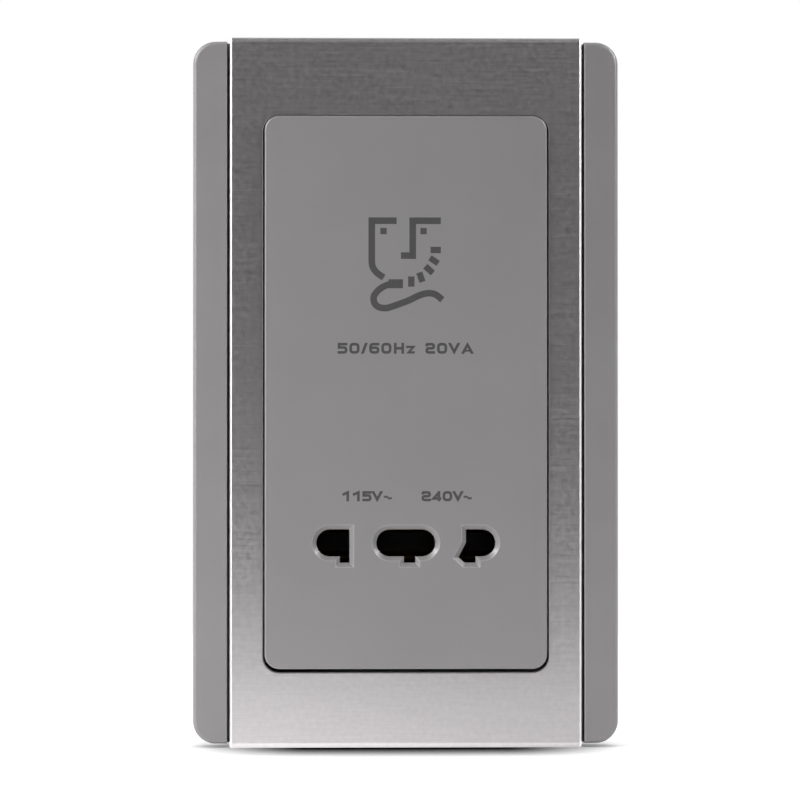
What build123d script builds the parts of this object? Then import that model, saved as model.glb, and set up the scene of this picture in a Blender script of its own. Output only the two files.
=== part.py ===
from build123d import *
import os

# A dual-voltage shaver outlet for a vertical two-gang wall box. All sizes are in millimetres.
# The wall is the plane Y = 0, the viewer stands on the -Y side and +Z is up.
# A height is a distance from the wall towards the viewer: what lies in the wall box has negative heights.

os.makedirs("parts", exist_ok=True)

# Surround frame, whose two cheeks show beside the metal sheet
frame_width = 87.9
frame_end_margin = 12.2
frame_corner_share = 0.655
frame_wall = 1.8
smallest_radius = 0.5
cheek_height = 10.9
cheek_drop = 0.7
cheek_edge_share = 0.128
cheek_inner_radius = 0.25
field_wall = 2.0
field_end_radius = 0.6
groove_depth = 4.5
groove_undercut = 1.6
groove_wall = 1.5
rib_thickness = 1.4
rib_depth = 3.0
rib_spread = 24.0

# Folded metal sheet over the frame
sheet_share = 0.8282
sheet_thickness = 0.8
sheet_front = 11.0
sheet_gap = 0.52
sheet_fit = 0.05
sheet_bend_radius = 1.0
sheet_inner_bend_radius = 0.2
sheet_edge_chamfer = 0.42
flange_foot = 1.6
catch_width = 9.0
catch_reach = 0.9
catch_spread = 21.0
catch_clearance = 0.2

# Socket panel
panel_width = 58.3
panel_end_margin = 3.2
panel_corner_radius = 3.0
panel_front = 11.6
panel_wall = 2.0
panel_skirt = 1.5
panel_edge_radius = 0.35
sheet_window_gap = 0.35
sheet_window_gap_top = 0.05
sheet_window_gap_bottom = 0.65
sheet_window_radius = 0.3
frame_window_gap = 0.9
window_rim = 1.2
window_rim_depth = 2.0

# Openings for the pins, measured from the middle of their row
outlet_share = 0.2723
pin_spacing = 19.0
opening_radius = 2.8
centre_pin_offset = 3.3
blade_drop = 4.1
left_end_x = -11.65
left_slot_width = 2.0
middle_slot_x = 0.78
middle_slot_width = 2.34
right_start_x = 12.4
right_toe_x = 10.85
right_toe_drop = 2.95
right_slot_left_x = 12.15
right_slot_right_x = 14.4
opening_chamfer = 0.9

# Mounting grid behind the frame
grid_clearance = 0.45
grid_plate = 2.0
grid_rise = 1.2
grid_rim = 2.0
fixing_spacing = 120.6
fixing_radius = 2.0
fixing_boss_radius = 3.9
fixing_head_radius = 4.0
leg_thickness = 1.4
leg_width = 7.0
leg_spread_z = 34.0
leg_hook = 0.6
leg_hook_height = 0.8
leg_foot = 0.2
leg_clearance = 0.2
leg_stand_off = 0.3
leg_root = 0.2

# Rear housing
housing_width = 57.0
housing_end_margin = 4.1
housing_wall = 2.0
housing_depth = 36.0
housing_corner_radius = 3.0
housing_edge_radius = 1.2
housing_flange = 1.8
housing_flange_lap = 3.2
lip_thickness = 0.9
lip_height = 1.5
step_length = 22.0
step_depth = 20.0
housing_clearance = 0.2
snap_width = 8.0
snap_reach = 0.9
snap_height = 2.2
snap_flat = 0.55
snap_root = 0.1
snap_play = 0.1
snap_spread_z = 30.0

# Screws that hold the panel on the housing
thread_clearance = 0.05
head_clearance = 0.2
case_screw_radius = 1.45
case_screw_head_radius = 2.7
case_screw_head_height = 1.8
case_screw_length = 16.0
case_screw_inset = 5.9
case_screw_seat = -10.0
pillar_top = -3.0
pillar_wall = 1.3
boss_wall = 1.95
boss_end_gap = 1.0
boss_end_gap_small = 0.5
drive_slot_reach = 1.5
drive_slot_width = 0.7
drive_slot_depth = 0.8

# Contact carrier, contacts and retainer
carrier_wall = 2.1
carrier_top = 9.6
carrier_bottom = 8.0
carrier_depth = 18.6
throat_depth = 6.6
throat_clearance = 0.15
chamber_height = 10.0
contact_sheet = 0.6
contact_pinch = 1.9
contact_mouth = 3.0
contact_heel = 3.6
contact_web_depth = 4.0
contact_web_room = 1.3
contact_pinch_height = -1.6
contact_mouth_drop = 1.4
contact_clearance = 0.2
retainer_thickness = 2.0
tail_width = 3.0
tail_length = 7.0
lug_offset = 2.7
lug_radius = 2.5
lug_drop = 3.1
lug_thickness = 2.5
carrier_screw_radius = 1.3
carrier_screw_head_radius = 2.3
carrier_screw_head_height = 1.5
carrier_screw_length = 5.2
retainer_screw_x = 9.25
retainer_screw_radius = 1.1
retainer_screw_head_radius = 1.9
retainer_screw_head_height = 1.2
retainer_screw_length = 8.0

# Isolating transformer, its core cut in the usual proportions from the width of one outer leg
core_leg = 8.0
core_stack = 16.0
core_step_gap = 2.5
core_height = -16.0
core_hole_clearance = 0.25
bobbin_wall = 1.0
bobbin_fit = 0.15
bobbin_flange = 1.0
bobbin_margin = 0.2
bobbin_corner_radius = 2.0
winding_margin = 0.6
winding_fit = 0.05
winding_corner_radius = 5.0
winding_inner_radius = 0.02
coil_bulge = 7.0
tape_thickness = 0.3
tape_fit = 0.02
core_screw_radius = 1.5
core_screw_head_radius = 2.7
core_screw_head_height = 1.6
core_screw_length = 22.0
core_post_wall = 1.9

# Overload cut-out taped to the primary winding
cutout_length = 15.0
cutout_width = 6.4
cutout_thickness = 3.4
cutout_tag_length = 3.0
cutout_tag_width = 2.5
cutout_tag_thickness = 0.5

# Mains terminals on the housing's step
block_length = 19.0
block_depth = 13.0
block_end_wall = 2.9
block_edge_radius = 0.6
terminal_pitch = 10.0
terminal_width = 7.0
terminal_length = 8.0
terminal_depth = 8.5
terminal_recess = 2.0
terminal_clearance = 0.1
wire_bore_radius = 1.9
wire_bore_inset = 2.9
wire_entry_radius = 2.3
terminal_tail_width = 2.6
terminal_tail_thickness = 0.8
terminal_tail_length = 9.0
terminal_screw_radius = 1.65
terminal_screw_head_radius = 2.5
terminal_screw_head_height = 1.7
terminal_screw_length = 3.0
ear_radius = 3.2
ear_thickness = 3.0
ear_drop = 4.0
ear_lap = 0.1
ear_bridge_lap = 1.0
block_screw_radius = 1.3
block_screw_head_radius = 2.3
block_screw_head_height = 1.5
block_screw_length = 8.0
block_boss_height = 4.0

# Spring and terminal that earth the metal sheet
earth_x = 16.0
earth_rise = 0.7
earth_sheet = 0.4
earth_width = 7.0
earth_crest_gap = 0.05
earth_bend_radius = 0.5
earth_foot_z = -3.4
earth_heel_z = 5.2
earth_crest_top_z = 3.8
earth_crest_low_z = 1.4
earth_tip_z = -0.2
earth_tip_drop = 1.6
earth_opening_clearance = 0.6
earth_post_width = 7.0
earth_post_depth = 9.0
earth_bore_height = -4.0
earth_neck_radius = 1.6
earth_head_radius = 2.6
earth_head_height = 0.8
earth_neck_clearance = 0.1

# How near an edge's middle is to the line that picks it, and the slope that tells a cheek from a flat face
pick_near = 0.01
pick_clear = 1.0
flattest_cheek = 0.99999
steepest_cheek = 0.9

# Heights and places that follow from the sizes above
frame_length = fixing_spacing + 2 * frame_end_margin
panel_length = fixing_spacing - 2 * panel_end_margin
housing_length = panel_length - 2 * housing_end_margin
outlet_z = -outlet_share * panel_length
sheet_width = sheet_share * frame_width
cheek_inner_x = sheet_width / 2 + sheet_gap
cheek_width = frame_width / 2 - cheek_inner_x
cheek_edge_radius = cheek_edge_share * cheek_width
frame_corner_radius = frame_corner_share * cheek_width
field_height = sheet_front - sheet_thickness
cavity_height = field_height - field_wall
groove_floor = field_height - groove_depth
groove_inner_x = sheet_width / 2 - groove_undercut
window_width = panel_width + 2 * frame_window_gap
window_length = panel_length + 2 * frame_window_gap
window_radius = panel_corner_radius + frame_window_gap
sheet_inner_z = frame_length / 2 + sheet_fit
sheet_outer_z = sheet_inner_z + sheet_thickness
panel_back = panel_front - panel_wall
flange_front = grid_plate + housing_flange
grid_width = frame_width - 2 * (frame_wall + grid_clearance)
grid_length = frame_length - 2 * (frame_wall + grid_clearance)
grid_corner_radius = max(frame_corner_radius - frame_wall - grid_clearance, smallest_radius)
fixing_places = [(0, -fixing_spacing / 2), (0, fixing_spacing / 2)]
leg_inner_x = cheek_inner_x + groove_wall + leg_stand_off
leg_outer_x = leg_inner_x + leg_thickness
leg_hook_top = leg_foot + leg_hook_height
step_z = housing_length / 2 - step_length
case_screw_x = housing_width / 2 - case_screw_inset
case_screw_z = housing_length / 2 - case_screw_inset
case_screw_places = [(x, z) for x in (-case_screw_x, case_screw_x) for z in (-case_screw_z, case_screw_z)]
outer_pin_x = pin_spacing - centre_pin_offset
carrier_half_width = outer_pin_x + opening_radius + throat_clearance + carrier_wall
carrier_length = carrier_top + carrier_bottom
carrier_z = outlet_z + (carrier_top - carrier_bottom) / 2
carrier_back = panel_back - carrier_depth
chamber_front = panel_back - throat_depth
lug_reach = carrier_length / 2 + lug_offset
carrier_screw_places = [(0, carrier_z - lug_reach), (0, carrier_z + lug_reach)]
lug_front = panel_back - lug_drop
lug_back = lug_front - lug_thickness
retainer_screw_places = [(-retainer_screw_x, outlet_z), (retainer_screw_x, outlet_z)]
core_z = step_z - core_step_gap - 2.5 * core_leg
core_bottom_z = core_z - 2.5 * core_leg
window_bottom_z = core_bottom_z + core_leg
window_top_z = window_bottom_z + 3 * core_leg
core_back = core_height - core_stack / 2
core_screw_places = [
    (x, z)
    for x in (-2.5 * core_leg, 2.5 * core_leg)
    for z in (core_z - 2 * core_leg, core_z + 2 * core_leg)
]
bobbin_half_width = 2 * core_leg - bobbin_margin
bobbin_half_depth = core_stack / 2 + coil_bulge
winding_half_width = bobbin_half_width - winding_margin
winding_half_depth = bobbin_half_depth - winding_margin
bobbin_bottom_z = window_bottom_z + bobbin_margin
bobbin_top_z = window_top_z - bobbin_margin
bobbin_middle_z = (bobbin_bottom_z + bobbin_top_z) / 2
chamber_length = (bobbin_top_z - bobbin_bottom_z - 3 * bobbin_flange) / 2
secondary_z = bobbin_bottom_z + bobbin_flange + chamber_length / 2
primary_z = bobbin_top_z - bobbin_flange - chamber_length / 2
block_z = (step_z + housing_length / 2) / 2
block_back = -step_depth - block_depth
block_half_width = terminal_pitch + terminal_width / 2 + terminal_clearance + block_end_wall
terminal_back = block_back + terminal_recess
terminal_front = terminal_back + terminal_depth
wire_height = terminal_front - wire_bore_inset
terminal_places = [(-terminal_pitch, block_z), (0, block_z), (terminal_pitch, block_z)]
ear_x = block_half_width + ear_radius - ear_lap
block_screw_places = [(-ear_x, block_z - ear_drop), (ear_x, block_z - ear_drop)]
ear_back = -step_depth - ear_thickness
earth_z = fixing_spacing / 2 + earth_rise
earth_post_places = [(earth_x, earth_z)]


# A plane parallel to the wall. Its sketches have +X to the right and +Z up, and extrude towards the viewer.
def level(height):
    return Plane.XZ.offset(height)


# Round bars at the given places, from one height to another, added or cut
def add_bars(places, radius, start, end, mode=Mode.ADD):
    with BuildSketch(level(start)) as outline:
        with Locations(*places):
            Circle(radius)
    extrude(outline.sketch, amount=end - start, mode=mode)


# Blocks of one size at the given places, from one height to another, added or cut
def add_blocks(places, width, length, start, end, mode=Mode.ADD):
    with BuildSketch(level(start)) as outline:
        with Locations(*places):
            Rectangle(width, length)
    extrude(outline.sketch, amount=end - start, mode=mode)


# Screws at the given places. The shank runs from the seat towards the viewer where way is 1 and towards
# the wall where way is -1, and the head lies on the seat's other side with one or two crossed slots.
def add_screws(places, seat, way, radius, length, head_radius, head_height, slots):
    head_end = seat - way * head_height
    add_bars(places, head_radius, seat, head_end)
    add_bars(places, radius, seat, seat + way * length)
    slot_length = drive_slot_reach * head_radius
    slot_floor = head_end + way * drive_slot_depth
    add_blocks(places, slot_length, drive_slot_width, head_end, slot_floor, Mode.SUBTRACT)
    if slots == 2:
        add_blocks(places, drive_slot_width, slot_length, head_end, slot_floor, Mode.SUBTRACT)


# The three openings: round where a round pin enters, with a deeper slot beside it for a flat blade
def draw_openings():
    with Locations((-outer_pin_x, outlet_z), (outer_pin_x, outlet_z)):
        Circle(opening_radius)
    with Locations((0, outlet_z)):
        SlotCenterToCenter(2 * centre_pin_offset, 2 * opening_radius)
    left_length = left_end_x + outer_pin_x
    with Locations((left_end_x - left_length / 2, outlet_z)):
        Rectangle(left_length, 2 * opening_radius)
    with Locations((left_end_x - left_slot_width / 2, outlet_z)):
        Rectangle(left_slot_width, blade_drop, align=(Align.CENTER, Align.MAX))
    with Locations((middle_slot_x, outlet_z)):
        Rectangle(middle_slot_width, blade_drop, align=(Align.CENTER, Align.MAX))
    with BuildLine() as right_end:
        Polyline(
            (right_start_x, outlet_z + opening_radius),
            (outer_pin_x, outlet_z + opening_radius),
            (outer_pin_x, outlet_z - opening_radius),
            (right_slot_right_x, outlet_z - opening_radius),
            (right_slot_right_x, outlet_z - blade_drop),
            (right_slot_left_x, outlet_z - blade_drop),
            (right_toe_x, outlet_z - right_toe_drop),
            (right_start_x, outlet_z),
            close=True,
        )
    make_face(right_end.edges())


# Surround frame: a hollow tray whose two cheeks slope outwards and whose middle lies lower, under the metal
with BuildPart() as plate_frame:
    with BuildSketch(level(0)):
        RectangleRounded(frame_width, frame_length, frame_corner_radius)
    extrude(amount=cheek_height)
    for side in (-1, 1):
        with BuildSketch(Plane.XY.offset(-frame_length)):
            with BuildLine():
                Polyline(
                    (side * cheek_inner_x, -cheek_height),
                    (side * frame_width / 2, cheek_drop - cheek_height),
                    (side * frame_width, cheek_drop - cheek_height),
                    (side * frame_width, -2 * cheek_height),
                    (side * cheek_inner_x, -2 * cheek_height),
                    close=True,
                )
            make_face()
        extrude(amount=2 * frame_length, mode=Mode.SUBTRACT)

    # Rounded edges of the cheeks
    cheeks = [f for f in plate_frame.faces() if steepest_cheek < -f.normal_at().Y < flattest_cheek]
    rims = [e for f in cheeks for e in f.edges() if abs(abs(e.center().X) - cheek_inner_x) > pick_near]
    fillet(rims, cheek_edge_radius)
    add_blocks([(0, 0)], 2 * cheek_inner_x, 2 * frame_length, 0, cheek_height, Mode.SUBTRACT)
    crest_x = cheek_inner_x + cheek_inner_radius
    crest_y = cheek_inner_radius - cheek_height
    diagonal = cheek_inner_radius / 2**0.5
    for side in (-1, 1):
        with BuildSketch(Plane.XY.offset(-frame_length)):
            with BuildLine():
                Polyline(
                    (side * cheek_inner_x, crest_y),
                    (side * cheek_inner_x, -2 * cheek_height),
                    (side * crest_x, -2 * cheek_height),
                    (side * crest_x, -cheek_height),
                )
                ThreePointArc(
                    (side * crest_x, -cheek_height),
                    (side * (crest_x - diagonal), crest_y - diagonal),
                    (side * cheek_inner_x, crest_y),
                )
            make_face()
        extrude(amount=2 * frame_length, mode=Mode.SUBTRACT)

    # The lower middle between them, rounded at both ends under the folds of the sheet
    with BuildSketch(Plane.YZ) as middle:
        with Locations((-field_height / 2, 0)):
            Rectangle(field_height, frame_length)
        fillet(middle.vertices().group_by(Axis.X)[0], field_end_radius)
    extrude(amount=cheek_inner_x, both=True)

    # Hollow back, with a ridge under each groove, a rim round the window and ribs across both ends
    with BuildSketch(level(0)):
        RectangleRounded(
            frame_width - 2 * frame_wall,
            frame_length - 2 * frame_wall,
            max(frame_corner_radius - frame_wall, smallest_radius),
        )
    extrude(amount=cavity_height, mode=Mode.SUBTRACT)
    ridge_width = cheek_inner_x - groove_inner_x + 2 * groove_wall
    groove_x = (cheek_inner_x + groove_inner_x) / 2
    groove_places = [(-groove_x, 0), (groove_x, 0)]
    ridge_length = frame_length - frame_wall
    add_blocks(groove_places, ridge_width, ridge_length, groove_floor - groove_wall, cavity_height)
    with BuildSketch(level(cavity_height - window_rim_depth)):
        RectangleRounded(
            window_width + 2 * window_rim,
            window_length + 2 * window_rim,
            window_radius + window_rim,
        )
    extrude(amount=window_rim_depth)
    rib_start = window_length / 2 + window_rim / 2
    rib_end = frame_length / 2 - frame_wall / 2
    rib_z = (rib_start + rib_end) / 2
    rib_places = [(x, z) for x in (-rib_spread, rib_spread) for z in (-rib_z, rib_z)]
    add_blocks(rib_places, rib_thickness, rib_end - rib_start, cavity_height - rib_depth, cavity_height)

    # Grooves that part the cheeks from the sheet, and the window
    groove_width = cheek_inner_x - groove_inner_x
    add_blocks(groove_places, groove_width, 2 * frame_length, groove_floor, field_height, Mode.SUBTRACT)
    with BuildSketch(level(0)):
        RectangleRounded(window_width, window_length, window_radius)
    extrude(amount=sheet_front, mode=Mode.SUBTRACT)

    # Pockets in the end walls for the sheet's catches
    pocket_depth = catch_reach + catch_clearance
    pocket_places = [
        (x, z)
        for x in (-catch_spread, catch_spread)
        for z in (-frame_length / 2, frame_length / 2)
    ]
    add_blocks(
        pocket_places,
        catch_width + 2 * catch_clearance,
        2 * pocket_depth,
        flange_foot - catch_clearance,
        flange_foot + sheet_thickness + catch_clearance,
        Mode.SUBTRACT,
    )

    # Legs with outward hooks that catch in the mounting grid
    for side in (-1, 1):
        for middle_z in (-leg_spread_z, leg_spread_z):
            with BuildSketch(Plane.XY.offset(middle_z - leg_width / 2)):
                with BuildLine():
                    Polyline(
                        (side * leg_inner_x, -cavity_height - leg_root),
                        (side * leg_outer_x, -cavity_height - leg_root),
                        (side * leg_outer_x, -leg_hook_top),
                        (side * (leg_outer_x + leg_hook), -leg_hook_top),
                        (side * (leg_outer_x + leg_hook), -(leg_hook_top + leg_foot) / 2),
                        (side * leg_outer_x, -leg_foot),
                        (side * leg_inner_x, -leg_foot),
                        close=True,
                    )
                make_face()
            extrude(amount=leg_width)

    # Opening behind the sheet for the earth spring
    spring_hole_low = earth_z + earth_tip_z - earth_opening_clearance
    spring_hole_high = earth_z + earth_heel_z + earth_sheet + earth_opening_clearance
    add_blocks(
        [(earth_x, (spring_hole_low + spring_hole_high) / 2)],
        earth_width + 2 * earth_opening_clearance,
        spring_hole_high - spring_hole_low,
        0,
        field_height,
        Mode.SUBTRACT,
    )

plate_frame.part.label = "plate_frame"
export_step(plate_frame.part, "parts/plate_frame.step")


# Metal sheet: one strip folded over both ends of the frame, held by two catches in each end wall
with BuildPart() as metal_surround:
    with BuildSketch(Plane.YZ):
        with BuildLine():
            Polyline(
                (-flange_foot, -sheet_outer_z),
                (-sheet_front, -sheet_outer_z),
                (-sheet_front, sheet_outer_z),
                (-flange_foot, sheet_outer_z),
                (-flange_foot, sheet_inner_z),
                (-field_height, sheet_inner_z),
                (-field_height, -sheet_inner_z),
                (-flange_foot, -sheet_inner_z),
                close=True,
            )
        make_face()
    extrude(amount=sheet_width / 2, both=True)
    folds = metal_surround.edges().filter_by(Axis.X)
    outer_folds = [e for e in folds if abs(e.center().Y + sheet_front) < pick_near]
    inner_folds = [e for e in folds if abs(e.center().Y + field_height) < pick_near]
    fillet(outer_folds, sheet_bend_radius)
    fillet(inner_folds, sheet_inner_bend_radius)

    # Bright cut along the two long edges, round the folds and down the ends
    middle_height = (sheet_front + field_height) / 2
    middle_z = (sheet_outer_z + sheet_inner_z) / 2
    bright_edges = [
        e
        for e in metal_surround.edges()
        if abs(abs(e.center().X) - sheet_width / 2) < pick_near
        and (-e.center().Y > middle_height or abs(e.center().Z) > middle_z)
    ]
    chamfer(bright_edges, sheet_edge_chamfer)
    with BuildSketch(level(cavity_height)):
        with Locations((0, (sheet_window_gap_top - sheet_window_gap_bottom) / 2)):
            RectangleRounded(
                panel_width + 2 * sheet_window_gap,
                panel_length + sheet_window_gap_top + sheet_window_gap_bottom,
                panel_corner_radius + sheet_window_gap,
            )
    extrude(amount=sheet_front, mode=Mode.SUBTRACT)
    sheet_face = metal_surround.faces().sort_by(Axis.Y)[0]
    fillet(sheet_face.inner_wires()[0].edges(), sheet_window_radius)
    catch_z = sheet_inner_z - catch_reach / 2 + sheet_thickness / 4
    catch_places = [(x, z) for x in (-catch_spread, catch_spread) for z in (-catch_z, catch_z)]
    catch_length = catch_reach + sheet_thickness / 2
    add_blocks(catch_places, catch_width, catch_length, flange_foot, flange_foot + sheet_thickness)

metal_surround.part.label = "metal_surround"
export_step(metal_surround.part, "parts/metal_surround.step")


# Socket panel: a shallow lid with the three openings and the bosses that everything behind is screwed to
with BuildPart() as socket_panel:
    with BuildSketch(level(flange_front)):
        RectangleRounded(panel_width, panel_length, panel_corner_radius)
    extrude(amount=panel_front - flange_front)
    fillet(socket_panel.faces().sort_by(Axis.Y)[0].edges(), panel_edge_radius)
    with BuildSketch(level(flange_front)):
        RectangleRounded(
            panel_width - 2 * panel_skirt,
            panel_length - 2 * panel_skirt,
            max(panel_corner_radius - panel_skirt, smallest_radius),
        )
    extrude(amount=panel_back - flange_front, mode=Mode.SUBTRACT)

    # Hollows in the skirt that leave room for the heads of the fixing screws
    add_bars(fixing_places, fixing_head_radius, flange_front, panel_back, Mode.SUBTRACT)

    # Bosses for the housing's screws and for the contact carrier's screws, with their pilot holes
    add_bars(case_screw_places, case_screw_radius + boss_wall, pillar_top, panel_back)
    add_bars(carrier_screw_places, lug_radius, lug_front, panel_back)
    case_pilot_end = case_screw_seat + case_screw_length + boss_end_gap
    case_pilot_radius = case_screw_radius + thread_clearance
    add_bars(case_screw_places, case_pilot_radius, pillar_top, case_pilot_end, Mode.SUBTRACT)
    carrier_pilot_end = lug_back + carrier_screw_length + boss_end_gap_small
    carrier_pilot_radius = carrier_screw_radius + thread_clearance
    add_bars(carrier_screw_places, carrier_pilot_radius, lug_front, carrier_pilot_end, Mode.SUBTRACT)

    # Openings with a wide chamfer all round
    with BuildSketch(level(panel_back)):
        draw_openings()
    extrude(amount=panel_wall, mode=Mode.SUBTRACT)
    front_face = socket_panel.faces().sort_by(Axis.Y)[0]
    mouth_edges = [e for wire in front_face.inner_wires() for e in wire.edges()]
    chamfer(mouth_edges, opening_chamfer)

socket_panel.part.label = "socket_panel"
export_step(socket_panel.part, "parts/socket_panel.step")


# Mounting grid: a flat plate against the wall that carries the housing, the frame and the earth terminal
with BuildPart() as mounting_grid:
    with BuildSketch(level(0)):
        RectangleRounded(grid_width, grid_length, grid_corner_radius)
    extrude(amount=grid_plate)
    with BuildSketch(level(grid_plate)):
        RectangleRounded(grid_width, grid_length, grid_corner_radius)
        Rectangle(grid_width - 2 * grid_rim, grid_length - 2 * grid_rim, mode=Mode.SUBTRACT)
    extrude(amount=grid_rise)
    add_bars(fixing_places, fixing_boss_radius, 0, grid_plate + grid_rise)
    with BuildSketch(level(0)):
        RectangleRounded(
            housing_width + 2 * housing_clearance,
            housing_length + 2 * housing_clearance,
            housing_corner_radius + housing_clearance,
        )
    extrude(amount=grid_plate, mode=Mode.SUBTRACT)
    add_bars(fixing_places, fixing_radius, 0, grid_plate + grid_rise, Mode.SUBTRACT)
    add_bars(earth_post_places, earth_neck_radius + earth_neck_clearance, 0, grid_plate, Mode.SUBTRACT)

    # Slots for the frame's legs, wider at the back where the hooks catch
    for side in (-1, 1):
        slot_inner = leg_inner_x - leg_clearance
        slot_outer = leg_outer_x + leg_clearance
        hook_outer = slot_outer + leg_hook
        for middle_z in (-leg_spread_z, leg_spread_z):
            slot_place = [(side * (slot_inner + slot_outer) / 2, middle_z)]
            slot_length = leg_width + 2 * leg_clearance
            slot_end = grid_plate + grid_rise
            add_blocks(slot_place, slot_outer - slot_inner, slot_length, 0, slot_end, Mode.SUBTRACT)
            hook_place = [(side * (slot_inner + hook_outer) / 2, middle_z)]
            ledge = leg_hook_top + leg_clearance
            add_blocks(hook_place, hook_outer - slot_inner, slot_length, 0, ledge, Mode.SUBTRACT)

mounting_grid.part.label = "mounting_grid"
export_step(mounting_grid.part, "parts/mounting_grid.step")


# Rear housing: a tub with a flange on the grid, deep for the transformer and shallow for the terminals
with BuildPart() as rear_housing:
    with BuildSketch(level(flange_front)):
        RectangleRounded(housing_width, housing_length, housing_corner_radius)
    extrude(amount=-(flange_front + step_depth))
    with BuildSketch(level(-step_depth)):
        RectangleRounded(housing_width, housing_length, housing_corner_radius)
        with Locations((0, step_z)):
            Rectangle(housing_width, housing_length, align=(Align.CENTER, Align.MIN), mode=Mode.SUBTRACT)
    extrude(amount=-(housing_depth - step_depth))
    fillet(rear_housing.faces().sort_by(Axis.Y)[-1].edges(), housing_edge_radius)
    step_edges = [
        e
        for e in rear_housing.edges()
        if abs(e.center().Y - step_depth) < pick_near
        and e.center().Z > step_z + pick_clear
    ]
    fillet(step_edges, housing_edge_radius)
    with BuildSketch(level(grid_plate)):
        RectangleRounded(
            housing_width + 2 * housing_flange_lap,
            housing_length + 2 * housing_flange_lap,
            housing_corner_radius,
        )
    extrude(amount=housing_flange)

    # Hollow inside, in the same two depths
    inner_width = housing_width - 2 * housing_wall
    inner_length = housing_length - 2 * housing_wall
    inner_radius = max(housing_corner_radius - housing_wall, smallest_radius)
    with BuildSketch(level(flange_front)):
        RectangleRounded(inner_width, inner_length, inner_radius)
    extrude(amount=-(flange_front + step_depth - housing_wall), mode=Mode.SUBTRACT)
    with BuildSketch(level(housing_wall - step_depth)):
        RectangleRounded(inner_width, inner_length, inner_radius)
        with Locations((0, step_z - housing_wall)):
            Rectangle(inner_width, inner_length, align=(Align.CENTER, Align.MIN), mode=Mode.SUBTRACT)
    extrude(amount=-(housing_depth - step_depth), mode=Mode.SUBTRACT)

    # Lip that centres the panel's skirt
    lip_width = panel_width - 2 * panel_skirt - 2 * housing_clearance
    lip_length = panel_length - 2 * panel_skirt - 2 * housing_clearance
    lip_radius = max(panel_corner_radius - panel_skirt - housing_clearance, smallest_radius)
    with BuildSketch(level(flange_front)):
        RectangleRounded(lip_width, lip_length, lip_radius)
        Rectangle(lip_width - 2 * lip_thickness, lip_length - 2 * lip_thickness, mode=Mode.SUBTRACT)
    extrude(amount=lip_height)

    # Snaps that catch behind the grid
    for side in (-1, 1):
        for middle_z in (-snap_spread_z, snap_spread_z):
            with BuildSketch(Plane.XY.offset(middle_z - snap_width / 2)):
                with BuildLine():
                    Polyline(
                        (side * (housing_width / 2 - snap_root), snap_play),
                        (side * (housing_width / 2 + snap_reach), snap_play),
                        (side * (housing_width / 2 + snap_reach), snap_play + snap_flat),
                        (side * (housing_width / 2 - snap_root), snap_play + snap_height),
                        close=True,
                    )
                make_face()
            extrude(amount=snap_width)

    # Pillars for the panel's screws, each with a well from behind for the head
    well_radius = case_screw_head_radius + head_clearance
    floors = {-case_screw_z: -housing_depth, case_screw_z: -step_depth}
    for x, z in case_screw_places:
        add_bars([(x, z)], well_radius + pillar_wall, floors[z] + housing_wall / 2, pillar_top)
        add_bars([(x, z)], well_radius, floors[z], case_screw_seat, Mode.SUBTRACT)
        add_bars([(x, z)], case_screw_radius + head_clearance, case_screw_seat, pillar_top, Mode.SUBTRACT)

    # Posts that carry the transformer, and bosses and slots behind the terminal block
    core_post_radius = core_screw_radius + core_post_wall
    core_pilot_radius = core_screw_radius + thread_clearance
    add_bars(core_screw_places, core_post_radius, housing_wall / 2 - housing_depth, core_back)
    core_pilot_end = core_height + core_stack / 2 - core_screw_length - boss_end_gap
    add_bars(core_screw_places, core_pilot_radius, core_back, core_pilot_end, Mode.SUBTRACT)
    step_floor = housing_wall - step_depth
    block_boss_radius = block_screw_radius + pillar_wall
    block_boss_end = step_floor + block_boss_height
    add_bars(block_screw_places, block_boss_radius, step_floor - housing_wall / 2, block_boss_end)
    block_pilot_radius = block_screw_radius + thread_clearance
    add_bars(block_screw_places, block_pilot_radius, -step_depth, block_boss_end, Mode.SUBTRACT)
    tail_slot_width = terminal_tail_width + 2 * terminal_clearance
    tail_slot_length = terminal_tail_thickness + 2 * terminal_clearance
    add_blocks(terminal_places, tail_slot_width, tail_slot_length, -step_depth, step_floor, Mode.SUBTRACT)

rear_housing.part.label = "rear_housing"
export_step(rear_housing.part, "parts/rear_housing.step")


# Four screws that pull the panel and the housing together, driven from behind
with BuildPart() as case_screws:
    add_screws(
        case_screw_places,
        case_screw_seat,
        1,
        case_screw_radius,
        case_screw_length,
        case_screw_head_radius,
        case_screw_head_height,
        2,
    )

case_screws.part.label = "case_screws"
export_step(case_screws.part, "parts/case_screws.step")


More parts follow.
